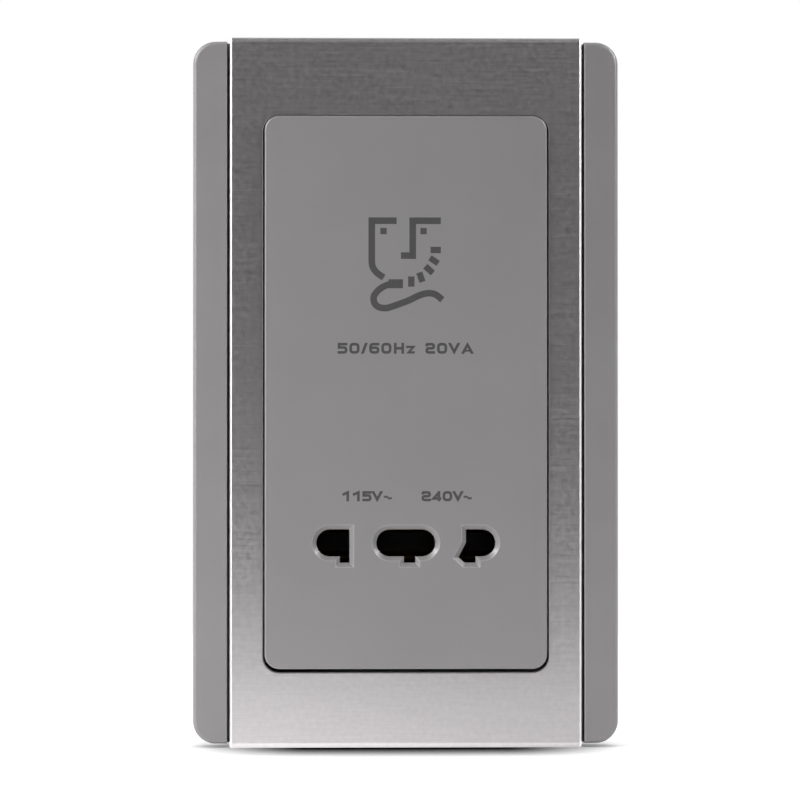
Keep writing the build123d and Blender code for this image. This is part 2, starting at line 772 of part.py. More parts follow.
# Contact carrier: a block behind the openings with a throat and a chamber for each contact
outer_end_x = outer_pin_x + opening_radius
centre_end_x = centre_pin_offset + opening_radius
chamber_ends = [
    (-outer_end_x - contact_web_room, left_end_x),
    (-centre_end_x, centre_end_x + contact_web_room),
    (right_toe_x, outer_end_x + contact_web_room),
]
chamber_places = [((start + end) / 2, end - start) for start, end in chamber_ends]
contact_web_places = [
    chamber_ends[0][0] + contact_clearance + contact_sheet / 2,
    chamber_ends[1][1] - contact_clearance - contact_sheet / 2,
    chamber_ends[2][1] - contact_clearance - contact_sheet / 2,
]
with BuildPart() as contact_carrier:
    add_blocks([(0, carrier_z)], 2 * carrier_half_width, carrier_length, carrier_back, panel_back)
    add_bars(carrier_screw_places, lug_radius, lug_back, lug_front)
    lug_bridge = [(0, carrier_z)]
    add_blocks(lug_bridge, 2 * lug_radius, 2 * lug_reach, lug_back, lug_front)
    with BuildSketch(level(chamber_front)):
        draw_openings()
        offset(amount=throat_clearance)
    extrude(amount=throat_depth, mode=Mode.SUBTRACT)
    for middle_x, width in chamber_places:
        place = [(middle_x, outlet_z)]
        add_blocks(place, width, chamber_height, carrier_back, chamber_front, Mode.SUBTRACT)
    lug_hole_radius = carrier_screw_radius + head_clearance
    add_bars(carrier_screw_places, lug_hole_radius, lug_back, lug_front, Mode.SUBTRACT)
    retainer_pilot_end = carrier_back - retainer_thickness + retainer_screw_length + boss_end_gap
    retainer_pilot_radius = retainer_screw_radius + thread_clearance
    add_bars(retainer_screw_places, retainer_pilot_radius, carrier_back, retainer_pilot_end, Mode.SUBTRACT)

contact_carrier.part.label = "contact_carrier"
export_step(contact_carrier.part, "parts/contact_carrier.step")


# Two screws that hold the carrier's lugs to the panel
with BuildPart() as carrier_screws:
    add_screws(
        carrier_screw_places,
        lug_back,
        1,
        carrier_screw_radius,
        carrier_screw_length,
        carrier_screw_head_radius,
        carrier_screw_head_height,
        2,
    )

carrier_screws.part.label = "carrier_screws"
export_step(carrier_screws.part, "parts/carrier_screws.step")


# Retainer: the plate that closes the chambers, with a slot for each contact's tail
with BuildPart() as contact_retainer:
    retainer_back = carrier_back - retainer_thickness
    add_blocks([(0, carrier_z)], 2 * carrier_half_width, carrier_length, retainer_back, carrier_back)
    tail_places = [(x, outlet_z) for x in contact_web_places]
    tail_gap = contact_sheet + 2 * contact_clearance
    tail_slot = tail_width + 2 * contact_clearance
    add_blocks(tail_places, tail_gap, tail_slot, retainer_back, carrier_back, Mode.SUBTRACT)
    retainer_hole_radius = retainer_screw_radius + head_clearance
    add_bars(retainer_screw_places, retainer_hole_radius, retainer_back, carrier_back, Mode.SUBTRACT)

contact_retainer.part.label = "contact_retainer"
export_step(contact_retainer.part, "parts/contact_retainer.step")


# Two screws that hold the retainer on the carrier
with BuildPart() as retainer_screws:
    add_screws(
        retainer_screw_places,
        retainer_back,
        1,
        retainer_screw_radius,
        retainer_screw_length,
        retainer_screw_head_radius,
        retainer_screw_head_height,
        2,
    )

retainer_screws.part.label = "retainer_screws"
export_step(retainer_screws.part, "parts/retainer_screws.step")


# One folded spring contact: a web at the chamber's side, two leaves that pinch the pin, and a tail behind
def add_contact(middle_x, width, web_x):
    rear_y = -carrier_back
    knee_y = rear_y - contact_web_depth
    pinch_y = -contact_pinch_height
    mouth_y = contact_mouth_drop - chamber_front
    with BuildSketch(Plane.YZ.offset(middle_x - width / 2)) as outline:
        for way, outer_side in ((-1, Side.RIGHT), (1, Side.LEFT)):
            with BuildLine():
                leaf = Polyline(
                    (mouth_y, outlet_z + way * contact_mouth),
                    (pinch_y, outlet_z + way * contact_pinch),
                    (knee_y, outlet_z + way * contact_heel),
                    (rear_y, outlet_z + way * contact_heel),
                )
                offset(leaf, amount=contact_sheet, kind=Kind.INTERSECTION, side=outer_side)
            make_face()
    extrude(outline.sketch, amount=width)
    web = [(web_x, outlet_z)]
    web_length = 2 * (contact_heel + contact_sheet)
    add_blocks(web, contact_sheet, web_length, carrier_back, carrier_back + contact_web_depth)
    add_blocks(web, contact_sheet, tail_width, carrier_back, carrier_back - tail_length)


with BuildPart() as left_contact:
    add_contact(chamber_places[0][0], chamber_places[0][1] - 2 * contact_clearance, contact_web_places[0])

left_contact.part.label = "left_contact"
export_step(left_contact.part, "parts/left_contact.step")

with BuildPart() as centre_contact:
    add_contact(chamber_places[1][0], chamber_places[1][1] - 2 * contact_clearance, contact_web_places[1])

centre_contact.part.label = "centre_contact"
export_step(centre_contact.part, "parts/centre_contact.step")

with BuildPart() as right_contact:
    add_contact(chamber_places[2][0], chamber_places[2][1] - 2 * contact_clearance, contact_web_places[2])

right_contact.part.label = "right_contact"
export_step(right_contact.part, "parts/right_contact.step")


# Transformer core: the E-shaped stack with three legs, closed by the bar-shaped stack
with BuildPart() as core_e_stack:
    with BuildSketch(level(core_back)):
        with Locations((0, core_bottom_z)):
            Rectangle(6 * core_leg, 4 * core_leg, align=(Align.CENTER, Align.MIN))
        with Locations((-1.5 * core_leg, window_bottom_z), (1.5 * core_leg, window_bottom_z)):
            Rectangle(core_leg, 3 * core_leg, align=(Align.CENTER, Align.MIN), mode=Mode.SUBTRACT)
    extrude(amount=core_stack)
    lower_holes = core_screw_places[0::2]
    core_front = core_back + core_stack
    core_hole_radius = core_screw_radius + core_hole_clearance
    add_bars(lower_holes, core_hole_radius, core_back, core_front, Mode.SUBTRACT)

core_e_stack.part.label = "core_e_stack"
export_step(core_e_stack.part, "parts/core_e_stack.step")

with BuildPart() as core_i_stack:
    with BuildSketch(level(core_back)):
        with Locations((0, window_top_z)):
            Rectangle(6 * core_leg, core_leg, align=(Align.CENTER, Align.MIN))
    extrude(amount=core_stack)
    upper_holes = core_screw_places[1::2]
    add_bars(upper_holes, core_hole_radius, core_back, core_front, Mode.SUBTRACT)

core_i_stack.part.label = "core_i_stack"
export_step(core_i_stack.part, "parts/core_i_stack.step")


# Four screws through the core's corners into the housing's posts
with BuildPart() as core_screws:
    add_screws(
        core_screw_places,
        core_front,
        -1,
        core_screw_radius,
        core_screw_length,
        core_screw_head_radius,
        core_screw_head_height,
        1,
    )

core_screws.part.label = "core_screws"
export_step(core_screws.part, "parts/core_screws.step")


# A plane across the middle leg, with the leg's middle as the sketch's origin
def across_leg(height_z):
    return Plane((0, -core_height, height_z), x_dir=(1, 0, 0), z_dir=(0, 0, 1))


tube_inner_width = 2 * (core_leg + bobbin_fit)
tube_inner_depth = core_stack + 2 * bobbin_fit
tube_outer_width = tube_inner_width + 2 * bobbin_wall
tube_outer_depth = tube_inner_depth + 2 * bobbin_wall

# Bobbin: a square tube round the middle leg with three flanges, so that the two windings stay apart
with BuildPart() as bobbin:
    with BuildSketch(across_leg(bobbin_bottom_z)):
        Rectangle(tube_outer_width, tube_outer_depth)
    extrude(amount=bobbin_top_z - bobbin_bottom_z)
    for flange_z in (bobbin_bottom_z, bobbin_middle_z - bobbin_flange / 2, bobbin_top_z - bobbin_flange):
        with BuildSketch(across_leg(flange_z)):
            RectangleRounded(2 * bobbin_half_width, 2 * bobbin_half_depth, bobbin_corner_radius)
        extrude(amount=bobbin_flange)
    with BuildSketch(across_leg(bobbin_bottom_z)):
        Rectangle(tube_inner_width, tube_inner_depth)
    extrude(amount=bobbin_top_z - bobbin_bottom_z, mode=Mode.SUBTRACT)

bobbin.part.label = "bobbin"
export_step(bobbin.part, "parts/bobbin.step")


# A ring round the bobbin between two outlines, lying between its flanges
def add_ring(middle_z, outer_width, outer_depth, inner_width, inner_depth, outer_radius, inner_radius):
    ring_length = chamber_length - 2 * winding_fit
    with BuildSketch(across_leg(middle_z - ring_length / 2)) as outline:
        RectangleRounded(outer_width, outer_depth, outer_radius)
        RectangleRounded(inner_width, inner_depth, inner_radius, mode=Mode.SUBTRACT)
    extrude(outline.sketch, amount=ring_length)


def add_winding(middle_z):
    add_ring(
        middle_z,
        2 * winding_half_width,
        2 * winding_half_depth,
        tube_outer_width + 2 * winding_fit,
        tube_outer_depth + 2 * winding_fit,
        winding_corner_radius,
        winding_inner_radius,
    )


with BuildPart() as primary_winding:
    add_winding(primary_z)

primary_winding.part.label = "primary_winding"
export_step(primary_winding.part, "parts/primary_winding.step")

with BuildPart() as secondary_winding:
    add_winding(secondary_z)

secondary_winding.part.label = "secondary_winding"
export_step(secondary_winding.part, "parts/secondary_winding.step")

# Insulating tape round each winding
with BuildPart() as winding_tape:
    for middle_z in (primary_z, secondary_z):
        add_ring(
            middle_z,
            2 * (winding_half_width + tape_fit + tape_thickness),
            2 * (winding_half_depth + tape_fit + tape_thickness),
            2 * (winding_half_width + tape_fit),
            2 * (winding_half_depth + tape_fit),
            winding_corner_radius + tape_fit + tape_thickness,
            winding_corner_radius + tape_fit,
        )

winding_tape.part.label = "winding_tape"
export_step(winding_tape.part, "parts/winding_tape.step")


# Overload cut-out: a flat can with a tag at each end, lying on the front of the primary's tape
with BuildPart() as thermal_cutout:
    cutout_back = core_height + winding_half_depth + 2 * tape_fit + tape_thickness
    cutout_front = cutout_back + cutout_thickness
    cutout_middle = (cutout_back + cutout_front) / 2
    add_blocks([(0, primary_z)], cutout_length, cutout_width, cutout_back, cutout_front)
    fillet(thermal_cutout.edges().filter_by(Axis.X), cutout_thickness / 4)
    tag_x = cutout_length / 2 + cutout_tag_length / 2
    tag_back = cutout_middle - cutout_tag_thickness / 2
    tag_places = [(-tag_x, primary_z), (tag_x, primary_z)]
    add_blocks(tag_places, cutout_tag_length, cutout_tag_width, tag_back, tag_back + cutout_tag_thickness)

thermal_cutout.part.label = "thermal_cutout"
export_step(thermal_cutout.part, "parts/thermal_cutout.step")


# Terminal block: three pockets open to the back, with wire entries from above and an ear at each side
with BuildPart() as terminal_block:
    add_blocks([(0, block_z)], 2 * block_half_width, block_length, block_back, -step_depth)
    fillet(terminal_block.faces().sort_by(Axis.Y)[-1].edges(), block_edge_radius)
    add_bars(block_screw_places, ear_radius, ear_back, -step_depth)
    for side in (-1, 1):
        ear_bridge = [(side * (block_half_width + (ear_radius - ear_bridge_lap) / 2), block_z - ear_drop)]
        add_blocks(ear_bridge, ear_radius + ear_bridge_lap, 2 * ear_radius, ear_back, -step_depth)
    pocket_width = terminal_width + 2 * terminal_clearance
    pocket_length = terminal_length + 2 * terminal_clearance
    add_blocks(terminal_places, pocket_width, pocket_length, block_back, terminal_front, Mode.SUBTRACT)
    tail_hole = (tail_slot_width, tail_slot_length)
    add_blocks(terminal_places, *tail_hole, terminal_front, -step_depth, Mode.SUBTRACT)
    with BuildSketch(Plane.XY.offset(block_z)):
        with Locations(*[(x, -wire_height) for x, z in terminal_places]):
            Circle(wire_entry_radius)
    extrude(amount=block_length, mode=Mode.SUBTRACT)
    add_bars(block_screw_places, block_screw_radius + head_clearance, ear_back, -step_depth, Mode.SUBTRACT)

terminal_block.part.label = "terminal_block"
export_step(terminal_block.part, "parts/terminal_block.step")


# One brass terminal: a block with a wire bore, a screw hole that meets it and a tail into the housing
def add_terminal(x):
    add_blocks([(x, block_z)], terminal_width, terminal_length, terminal_back, terminal_front)
    tail_end = terminal_front + terminal_tail_length
    add_blocks([(x, block_z)], terminal_tail_width, terminal_tail_thickness, terminal_front, tail_end)
    with BuildSketch(Plane.XY.offset(block_z - terminal_length / 2)) as bore:
        with Locations((x, -wire_height)):
            Circle(wire_bore_radius)
    extrude(bore.sketch, amount=terminal_length, mode=Mode.SUBTRACT)
    hole_radius = terminal_screw_radius + thread_clearance
    add_bars([(x, block_z)], hole_radius, terminal_back, wire_height, Mode.SUBTRACT)


with BuildPart() as live_terminal:
    add_terminal(-terminal_pitch)

live_terminal.part.label = "live_terminal"
export_step(live_terminal.part, "parts/live_terminal.step")

with BuildPart() as neutral_terminal:
    add_terminal(0)

neutral_terminal.part.label = "neutral_terminal"
export_step(neutral_terminal.part, "parts/neutral_terminal.step")

with BuildPart() as earth_terminal:
    add_terminal(terminal_pitch)

earth_terminal.part.label = "earth_terminal"
export_step(earth_terminal.part, "parts/earth_terminal.step")

with BuildPart() as terminal_screws:
    add_screws(
        terminal_places,
        terminal_back,
        1,
        terminal_screw_radius,
        terminal_screw_length,
        terminal_screw_head_radius,
        terminal_screw_head_height,
        1,
    )

terminal_screws.part.label = "terminal_screws"
export_step(terminal_screws.part, "parts/terminal_screws.step")

with BuildPart() as block_screws:
    add_screws(
        block_screw_places,
        ear_back,
        1,
        block_screw_radius,
        block_screw_length,
        block_screw_head_radius,
        block_screw_head_height,
        2,
    )

block_screws.part.label = "block_screws"
export_step(block_screws.part, "parts/block_screws.step")


# Earth terminal of the metal sheet: a brass block behind the grid, riveted through it and the spring
spring_back = grid_plate
spring_front = grid_plate + earth_sheet
with BuildPart() as plate_earth_terminal:
    add_blocks(earth_post_places, earth_post_width, earth_post_width, -earth_post_depth, 0)
    add_bars(earth_post_places, earth_neck_radius, 0, spring_front)
    add_bars(earth_post_places, earth_head_radius, spring_front, spring_front + earth_head_height)
    with BuildSketch(Plane.YZ.offset(earth_x - earth_post_width / 2)):
        with Locations((-earth_bore_height, earth_z)):
            Circle(wire_bore_radius)
    extrude(amount=earth_post_width, mode=Mode.SUBTRACT)
    post_hole_radius = terminal_screw_radius + thread_clearance
    add_bars(earth_post_places, post_hole_radius, -earth_post_depth, earth_bore_height, Mode.SUBTRACT)

plate_earth_terminal.part.label = "plate_earth_terminal"
export_step(plate_earth_terminal.part, "parts/plate_earth_terminal.step")

with BuildPart() as plate_earth_screw:
    add_screws(
        earth_post_places,
        -earth_post_depth,
        1,
        terminal_screw_radius,
        terminal_screw_length,
        terminal_screw_head_radius,
        terminal_screw_head_height,
        1,
    )

plate_earth_screw.part.label = "plate_earth_screw"
export_step(plate_earth_screw.part, "parts/plate_earth_screw.step")


# Earth spring: a strip riveted to the grid that springs up and presses on the back of the metal sheet
with BuildPart() as earth_spring:
    crest_y = -(field_height - earth_crest_gap)
    foot_y = -spring_back
    with BuildSketch(Plane.YZ.offset(earth_x - earth_width / 2)):
        with BuildLine():
            strip = FilletPolyline(
                (foot_y, earth_z + earth_foot_z),
                (foot_y, earth_z + earth_heel_z),
                (crest_y + earth_tip_drop / 2, earth_z + earth_heel_z),
                (crest_y, earth_z + earth_crest_top_z),
                (crest_y, earth_z + earth_crest_low_z),
                (crest_y + earth_tip_drop, earth_z + earth_tip_z),
                radius=earth_bend_radius,
            )
            offset(strip, amount=earth_sheet, side=Side.RIGHT)
        make_face()
    extrude(amount=earth_width)
    rivet_hole_radius = earth_neck_radius + earth_neck_clearance
    add_bars(earth_post_places, rivet_hole_radius, spring_back, spring_front, Mode.SUBTRACT)

earth_spring.part.label = "earth_spring"
export_step(earth_spring.part, "parts/earth_spring.step")
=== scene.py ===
import math

import bmesh
import bpy
import numpy as np
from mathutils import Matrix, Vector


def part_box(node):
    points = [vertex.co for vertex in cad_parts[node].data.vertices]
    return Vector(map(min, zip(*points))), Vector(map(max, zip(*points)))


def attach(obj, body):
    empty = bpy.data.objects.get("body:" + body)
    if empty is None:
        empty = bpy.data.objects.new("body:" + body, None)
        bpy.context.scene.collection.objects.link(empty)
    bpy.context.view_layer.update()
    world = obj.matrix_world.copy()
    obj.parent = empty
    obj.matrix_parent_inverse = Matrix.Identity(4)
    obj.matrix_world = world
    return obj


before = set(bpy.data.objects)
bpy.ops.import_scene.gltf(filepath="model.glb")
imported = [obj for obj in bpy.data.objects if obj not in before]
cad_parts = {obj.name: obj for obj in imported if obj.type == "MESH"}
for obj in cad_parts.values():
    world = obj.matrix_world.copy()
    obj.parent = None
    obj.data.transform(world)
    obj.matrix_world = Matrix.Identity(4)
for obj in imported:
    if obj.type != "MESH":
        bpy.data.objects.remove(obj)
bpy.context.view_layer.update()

# A shaver outlet on its wall plate, standing on a white table.
# Lengths are metres, so a size in millimetres is written times mm.
mm = 0.001
scene = bpy.context.scene
scene.view_settings.view_transform = "Standard"
print("frame loaded:", len(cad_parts), "nodes")

# Camera
shot = {
    "lens": 210.0,                              # a long product lens
    "sensor": 36.0,
    "distance": 963.2 * mm,
    "azimuth": -1.6,                            # degrees, a little from the left
    "elevation": -0.7,                          # degrees, a little below the middle
    "aim": (-1.24 * mm, -11.6 * mm, -1.6 * mm),
    "near": 10 * mm,                            # nothing closer than this is drawn
}


# Turns a lamp or camera at place so that it looks at target
def aimAt(item, place, target):
    way = np.array(target) - np.array(place)
    item.location = place
    item.rotation_euler = (math.atan2(math.hypot(way[0], way[1]), -way[2]), 0, math.atan2(-way[0], way[1]))


def addCamera():
    a, e = math.radians(shot["azimuth"]), math.radians(shot["elevation"])
    # azimuth 0 is straight in front of the plate, and it grows to the right
    step = np.array([math.sin(a) * math.cos(e), -math.cos(a) * math.cos(e), math.sin(e)])
    data = bpy.data.cameras.new("camera")
    data.lens = shot["lens"]
    data.sensor_width = shot["sensor"]
    data.clip_start = shot["near"]
    camera = bpy.data.objects.new("camera", data)
    scene.collection.objects.link(camera)
    aimAt(camera, tuple(np.array(shot["aim"]) + shot["distance"] * step), shot["aim"])
    scene.camera = camera


addCamera()
print("camera set")


# sRGB hex to the linear RGBA that the nodes take
def linear(hexColour):
    values = [int(hexColour[i:i + 2], 16) / 255 for i in (1, 3, 5)]
    return tuple(v / 12.92 if v <= 0.04045 else ((v + 0.055) / 1.055) ** 2.4 for v in values) + (1.0,)


# Adds one node. A setting is a property, a socket's name with _ for a space, or i and a socket's number.
def addNode(tree, kind, links=None, **settings):
    node = tree.nodes.new(kind)
    for key, value in settings.items():
        if hasattr(node, key):
            setattr(node, key, value)
        else:
            socket = int(key[1:]) if key[0] == "i" and key[1:].isdigit() else key.replace("_", " ")
            node.inputs[socket].default_value = value
    for socket, source in (links or {}).items():
        tree.links.new(source, node.inputs[socket])
    return node


# A material with one Principled shader and Object coordinates. What is even all over the surface is set on
# the shader's own sockets.
def newFinish(name, **surface):
    finish = bpy.data.materials.new(name)
    finish.use_nodes = True
    tree = finish.node_tree
    shader = tree.nodes["Principled BSDF"]
    for key, value in surface.items():
        shader.inputs[key.replace("_", " ")].default_value = value
    place = addNode(tree, "ShaderNodeTexCoord").outputs["Object"]
    return finish, tree, shader, place


# Scale of a banded wave texture whose bands repeat at that distance
def bandScale(pitch):
    return 2 * math.pi / (20 * pitch)


# Noise stays near its middle value, so a pattern reaches its two ends at these values of it
tightNoise = {"From_Min": 0.35, "From_Max": 0.65}
wideNoise = {"From_Min": 0.3, "From_Max": 0.7}

# The sharp edges of the plate are a little rounded, and a painted highlight makes them lighter. The
# highlight's share grows from 0 to 1 as the cosine between the rounded direction and the face's own falls
# from one value of turn to the other.
edges = {"radius": 0.16 * mm, "turn": (0.99, 0.93)}


def edgeRoundingAndHighlight(tree):
    rounding = addNode(tree, "ShaderNodeBevel", samples=4, Radius=edges["radius"])
    face = addNode(tree, "ShaderNodeNewGeometry")
    turn = addNode(tree, "ShaderNodeVectorMath", {0: rounding.outputs[0], 1: face.outputs["Normal"]},
                   operation="DOT_PRODUCT")
    paintedEdgeHighlight = addNode(tree, "ShaderNodeMapRange", {"Value": turn.outputs["Value"]},
                     From_Min=edges["turn"][0], From_Max=edges["turn"][1])
    return rounding.outputs[0], paintedEdgeHighlight.outputs[0]


# Stainless steel sheet, brushed across the plate: fine level lines that stretch every reflection up and down,
# over faint clouds left by the rolling. The lines are drawn coarser than a real 0.05 mm so that they show.
# Faces that look sideways, such as the chamfers of the cut edges, and the rounded edges get a lighter colour:
# a painted highlight.
brushed = {
    "colours": ("#b3b0b1", "#bfbcbd"),
    # colour of the painted highlight on sideways faces and rounded edges
    "cut": "#e9e6e7",
    "highlightFacing": (0.3, 0.6),            # a face that looks sideways by more than this gets the painted highlight
    "roughness": (0.31, 0.39),
    "line": 0.14 * mm,
    "lineLength": 9 * mm,
    "lineHeight": 0.0016 * mm,
    "cloud": 1.1 * mm,
    "cloudShare": 0.5,
}


def brushedSteel():
    finish, tree, shader, place = newFinish("brushed_stainless_steel", Metallic=1.0)
    drawn = addNode(tree, "ShaderNodeMapping", {"Vector": place},
                    Scale=(1 / brushed["lineLength"], 1 / brushed["line"], 1 / brushed["line"]))
    lines = addNode(tree, "ShaderNodeTexNoise", {"Vector": drawn.outputs[0]},
                    Scale=1.0, Detail=3.0, Roughness=0.6)
    clouds = addNode(tree, "ShaderNodeTexNoise", {"Vector": place}, Scale=1 / brushed["cloud"], Detail=3.0)
    both = addNode(tree, "ShaderNodeMix", {2: lines.outputs["Fac"], 3: clouds.outputs["Fac"]},
                   data_type="FLOAT", i0=brushed["cloudShare"])
    wide = addNode(tree, "ShaderNodeMapRange", {"Value": both.outputs[0]}, **tightNoise)
    colour = addNode(tree, "ShaderNodeMix", {"Factor": wide.outputs[0]}, data_type="RGBA",
                     i6=linear(brushed["colours"][0]), i7=linear(brushed["colours"][1]))
    rough = addNode(tree, "ShaderNodeMapRange", {"Value": both.outputs[0]},
                    To_Min=brushed["roughness"][0], To_Max=brushed["roughness"][1], **tightNoise)
    # painted highlight: faces that look sideways and the rounded edges take the lighter colour
    normal = addNode(tree, "ShaderNodeTexCoord").outputs["Normal"]
    facing = addNode(tree, "ShaderNodeSeparateXYZ", {0: normal})
    sideways = addNode(tree, "ShaderNodeMath", {0: facing.outputs["X"]}, operation="ABSOLUTE")
    cut = addNode(tree, "ShaderNodeMapRange", {"Value": sideways.outputs[0]},
                  From_Min=brushed["highlightFacing"][0], From_Max=brushed["highlightFacing"][1])
    rounding, paintedEdgeHighlight = edgeRoundingAndHighlight(tree)
    highlightShare = addNode(tree, "ShaderNodeMath", {0: cut.outputs[0], 1: paintedEdgeHighlight}, operation="MAXIMUM")
    highlightedColour = addNode(tree, "ShaderNodeMix", {"Factor": highlightShare.outputs[0], 6: colour.outputs[2]},
                    data_type="RGBA", i7=linear(brushed["cut"]))
    relief = addNode(tree, "ShaderNodeBump", {"Height": lines.outputs["Fac"], "Normal": rounding},
                     Distance=brushed["lineHeight"])
    tree.links.new(highlightedColour.outputs[2], shader.inputs["Base Color"])
    tree.links.new(rough.outputs[0], shader.inputs["Roughness"])
    tree.links.new(relief.outputs[0], shader.inputs["Normal"])
    return finish


# Moulded plastics: an even colour with faint clouds where the melt met, under the fine spark-eroded grain of
# the mould, which takes the edge off every highlight. Deep in a seam the colour is darkened by painted shade,
# by how little open sky a point sees. The two values of the painted shade are the shares of open sky at which
# it is darkest and at which it ends.
seamShade = {"reach": 2.5 * mm, "darkest": 0.03}
mouldings = {
    # A look's lighter edge colour is a painted highlight on its rounded edges.
    "grey_frame": {
        "name": "moulded_grey_abs", "colours": ("#8f8c8e", "#929091"), "paintedEdgeHighlight": "#c4c2c3",
        "roughness": (0.36, 0.46), "grain": 0.14 * mm, "grainHeight": 0.0025 * mm, "cloud": 14 * mm,
        "paintedSeamShade": (0.22, 0.5),
    },
    "grey_panel": {
        "name": "satin_grey_polycarbonate", "colours": ("#949293", "#969495"), "paintedEdgeHighlight": "#d6d4d5",
        "roughness": (0.28, 0.36), "grain": 0.12 * mm, "grainHeight": 0.002 * mm, "cloud": 16 * mm,
        "paintedSeamShade": (0.05, 0.25),
    },
    "grid_plastic": {
        "name": "glass_filled_grid_nylon", "colours": ("#727170", "#767574"),
        "roughness": (0.48, 0.62), "grain": 0.3 * mm, "grainHeight": 0.008 * mm, "cloud": 14 * mm,
        "paintedSeamShade": (0.05, 0.25),
    },
    "housing_plastic": {
        "name": "moulded_white_housing_nylon", "colours": ("#dfded9", "#e2e1dc"),
        "roughness": (0.42, 0.55), "grain": 0.3 * mm, "grainHeight": 0.008 * mm, "cloud": 20 * mm,
        "paintedSeamShade": (0.05, 0.25),
    },
    "carrier_plastic": {
        "name": "pressed_black_phenolic", "colours": ("#0c0c0d", "#101011"),
        "roughness": (0.35, 0.5), "grain": 0.25 * mm, "grainHeight": 0.006 * mm, "cloud": 3 * mm,
        "paintedSeamShade": (0.05, 0.25),
    },
    "bobbin_nylon": {
        "name": "glass_filled_bobbin_nylon", "colours": ("#dad4c2", "#dfd9c7"),
        "roughness": (0.45, 0.6), "grain": 0.2 * mm, "grainHeight": 0.008 * mm, "cloud": 4 * mm,
        "paintedSeamShade": (0.05, 0.25),
    },
    "block_plastic": {
        "name": "moulded_terminal_nylon", "colours": ("#d1cfc8", "#d5d3cc"),
        "roughness": (0.42, 0.55), "grain": 0.2 * mm, "grainHeight": 0.006 * mm, "cloud": 5 * mm,
        "paintedSeamShade": (0.05, 0.25),
    },
}


def mouldedPlastic(look):
    finish, tree, shader, place = newFinish(look["name"], IOR=1.5)
    clouds = addNode(tree, "ShaderNodeTexNoise", {"Vector": place}, Scale=1 / look["cloud"], Detail=2.0)
    wide = addNode(tree, "ShaderNodeMapRange", {"Value": clouds.outputs["Fac"]}, **tightNoise)
    colour = addNode(tree, "ShaderNodeMix", {"Factor": wide.outputs[0]}, data_type="RGBA",
                     i6=linear(look["colours"][0]), i7=linear(look["colours"][1]))
    # painted shade: the colour darkens where a point sees little open sky, in seams and hollows
    seam = addNode(tree, "ShaderNodeAmbientOcclusion", samples=8, Distance=seamShade["reach"])
    paintedSeamShade = addNode(tree, "ShaderNodeMapRange", {"Value": seam.outputs["AO"]}, From_Min=look["paintedSeamShade"][0],
                   From_Max=look["paintedSeamShade"][1], To_Min=seamShade["darkest"], To_Max=1.0)
    seamShadedColour = addNode(tree, "ShaderNodeVectorMath", {0: colour.outputs[2], "Scale": paintedSeamShade.outputs[0]},
                    operation="SCALE")
    grain = addNode(tree, "ShaderNodeTexNoise", {"Vector": place}, Scale=1 / look["grain"], Detail=1.0)
    rough = addNode(tree, "ShaderNodeMapRange", {"Value": grain.outputs["Fac"]},
                    To_Min=look["roughness"][0], To_Max=look["roughness"][1], **tightNoise)
    relief = addNode(tree, "ShaderNodeBump", {"Height": grain.outputs["Fac"]}, Distance=look["grainHeight"])
    # painted highlight: the rounded edges take the lighter colour
    if "paintedEdgeHighlight" in look:
        rounding, paintedEdgeHighlight = edgeRoundingAndHighlight(tree)
        highlightedColour = addNode(tree, "ShaderNodeMix", {"Factor": paintedEdgeHighlight, 6: colour.outputs[2]}, data_type="RGBA",
                        i7=linear(look["paintedEdgeHighlight"]))
        tree.links.new(highlightedColour.outputs[2], seamShadedColour.inputs[0])
        tree.links.new(rounding, relief.inputs["Normal"])
    tree.links.new(seamShadedColour.outputs[0], shader.inputs["Base Color"])
    tree.links.new(rough.outputs[0], shader.inputs["Roughness"])
    tree.links.new(relief.outputs[0], shader.inputs["Normal"])
    return finish


# Rolled, drawn and turned metals: fine lines along the way the tool or the rolls went, and a slight change of
# tone where fingers and oil have been
drawnMetals = {
    "contact_brass": {
        "name": "rolled_contact_brass", "colours": ("#c4964a", "#d8b067"), "roughness": (0.24, 0.36),
        "grain": (0.08 * mm, 0.08 * mm, 2.5 * mm), "grainHeight": 0.002 * mm,
    },
    "spring_bronze": {
        "name": "rolled_spring_bronze", "colours": ("#b27b46", "#c8945e"), "roughness": (0.22, 0.34),
        "grain": (0.08 * mm, 0.08 * mm, 2.5 * mm), "grainHeight": 0.002 * mm,
    },
    "terminal_brass": {
        "name": "sawn_terminal_brass", "colours": ("#c49c56", "#d9b572"), "roughness": (0.24, 0.38),
        "grain": (2 * mm, 0.12 * mm, 2 * mm), "grainHeight": 0.004 * mm,
    },
    "terminal_screw_brass": {
        "name": "turned_nickelled_brass", "colours": ("#bdb7a9", "#d3cdbf"), "roughness": (0.22, 0.34),
        "grain": (1.5 * mm, 0.1 * mm, 1.5 * mm), "grainHeight": 0.003 * mm,
    },
    "cutout_metal": {
        "name": "drawn_nickelled_case", "colours": ("#b4b1a9", "#c8c5bd"), "roughness": (0.2, 0.34),
        "grain": (2.5 * mm, 0.1 * mm, 0.1 * mm), "grainHeight": 0.002 * mm,
    },
}


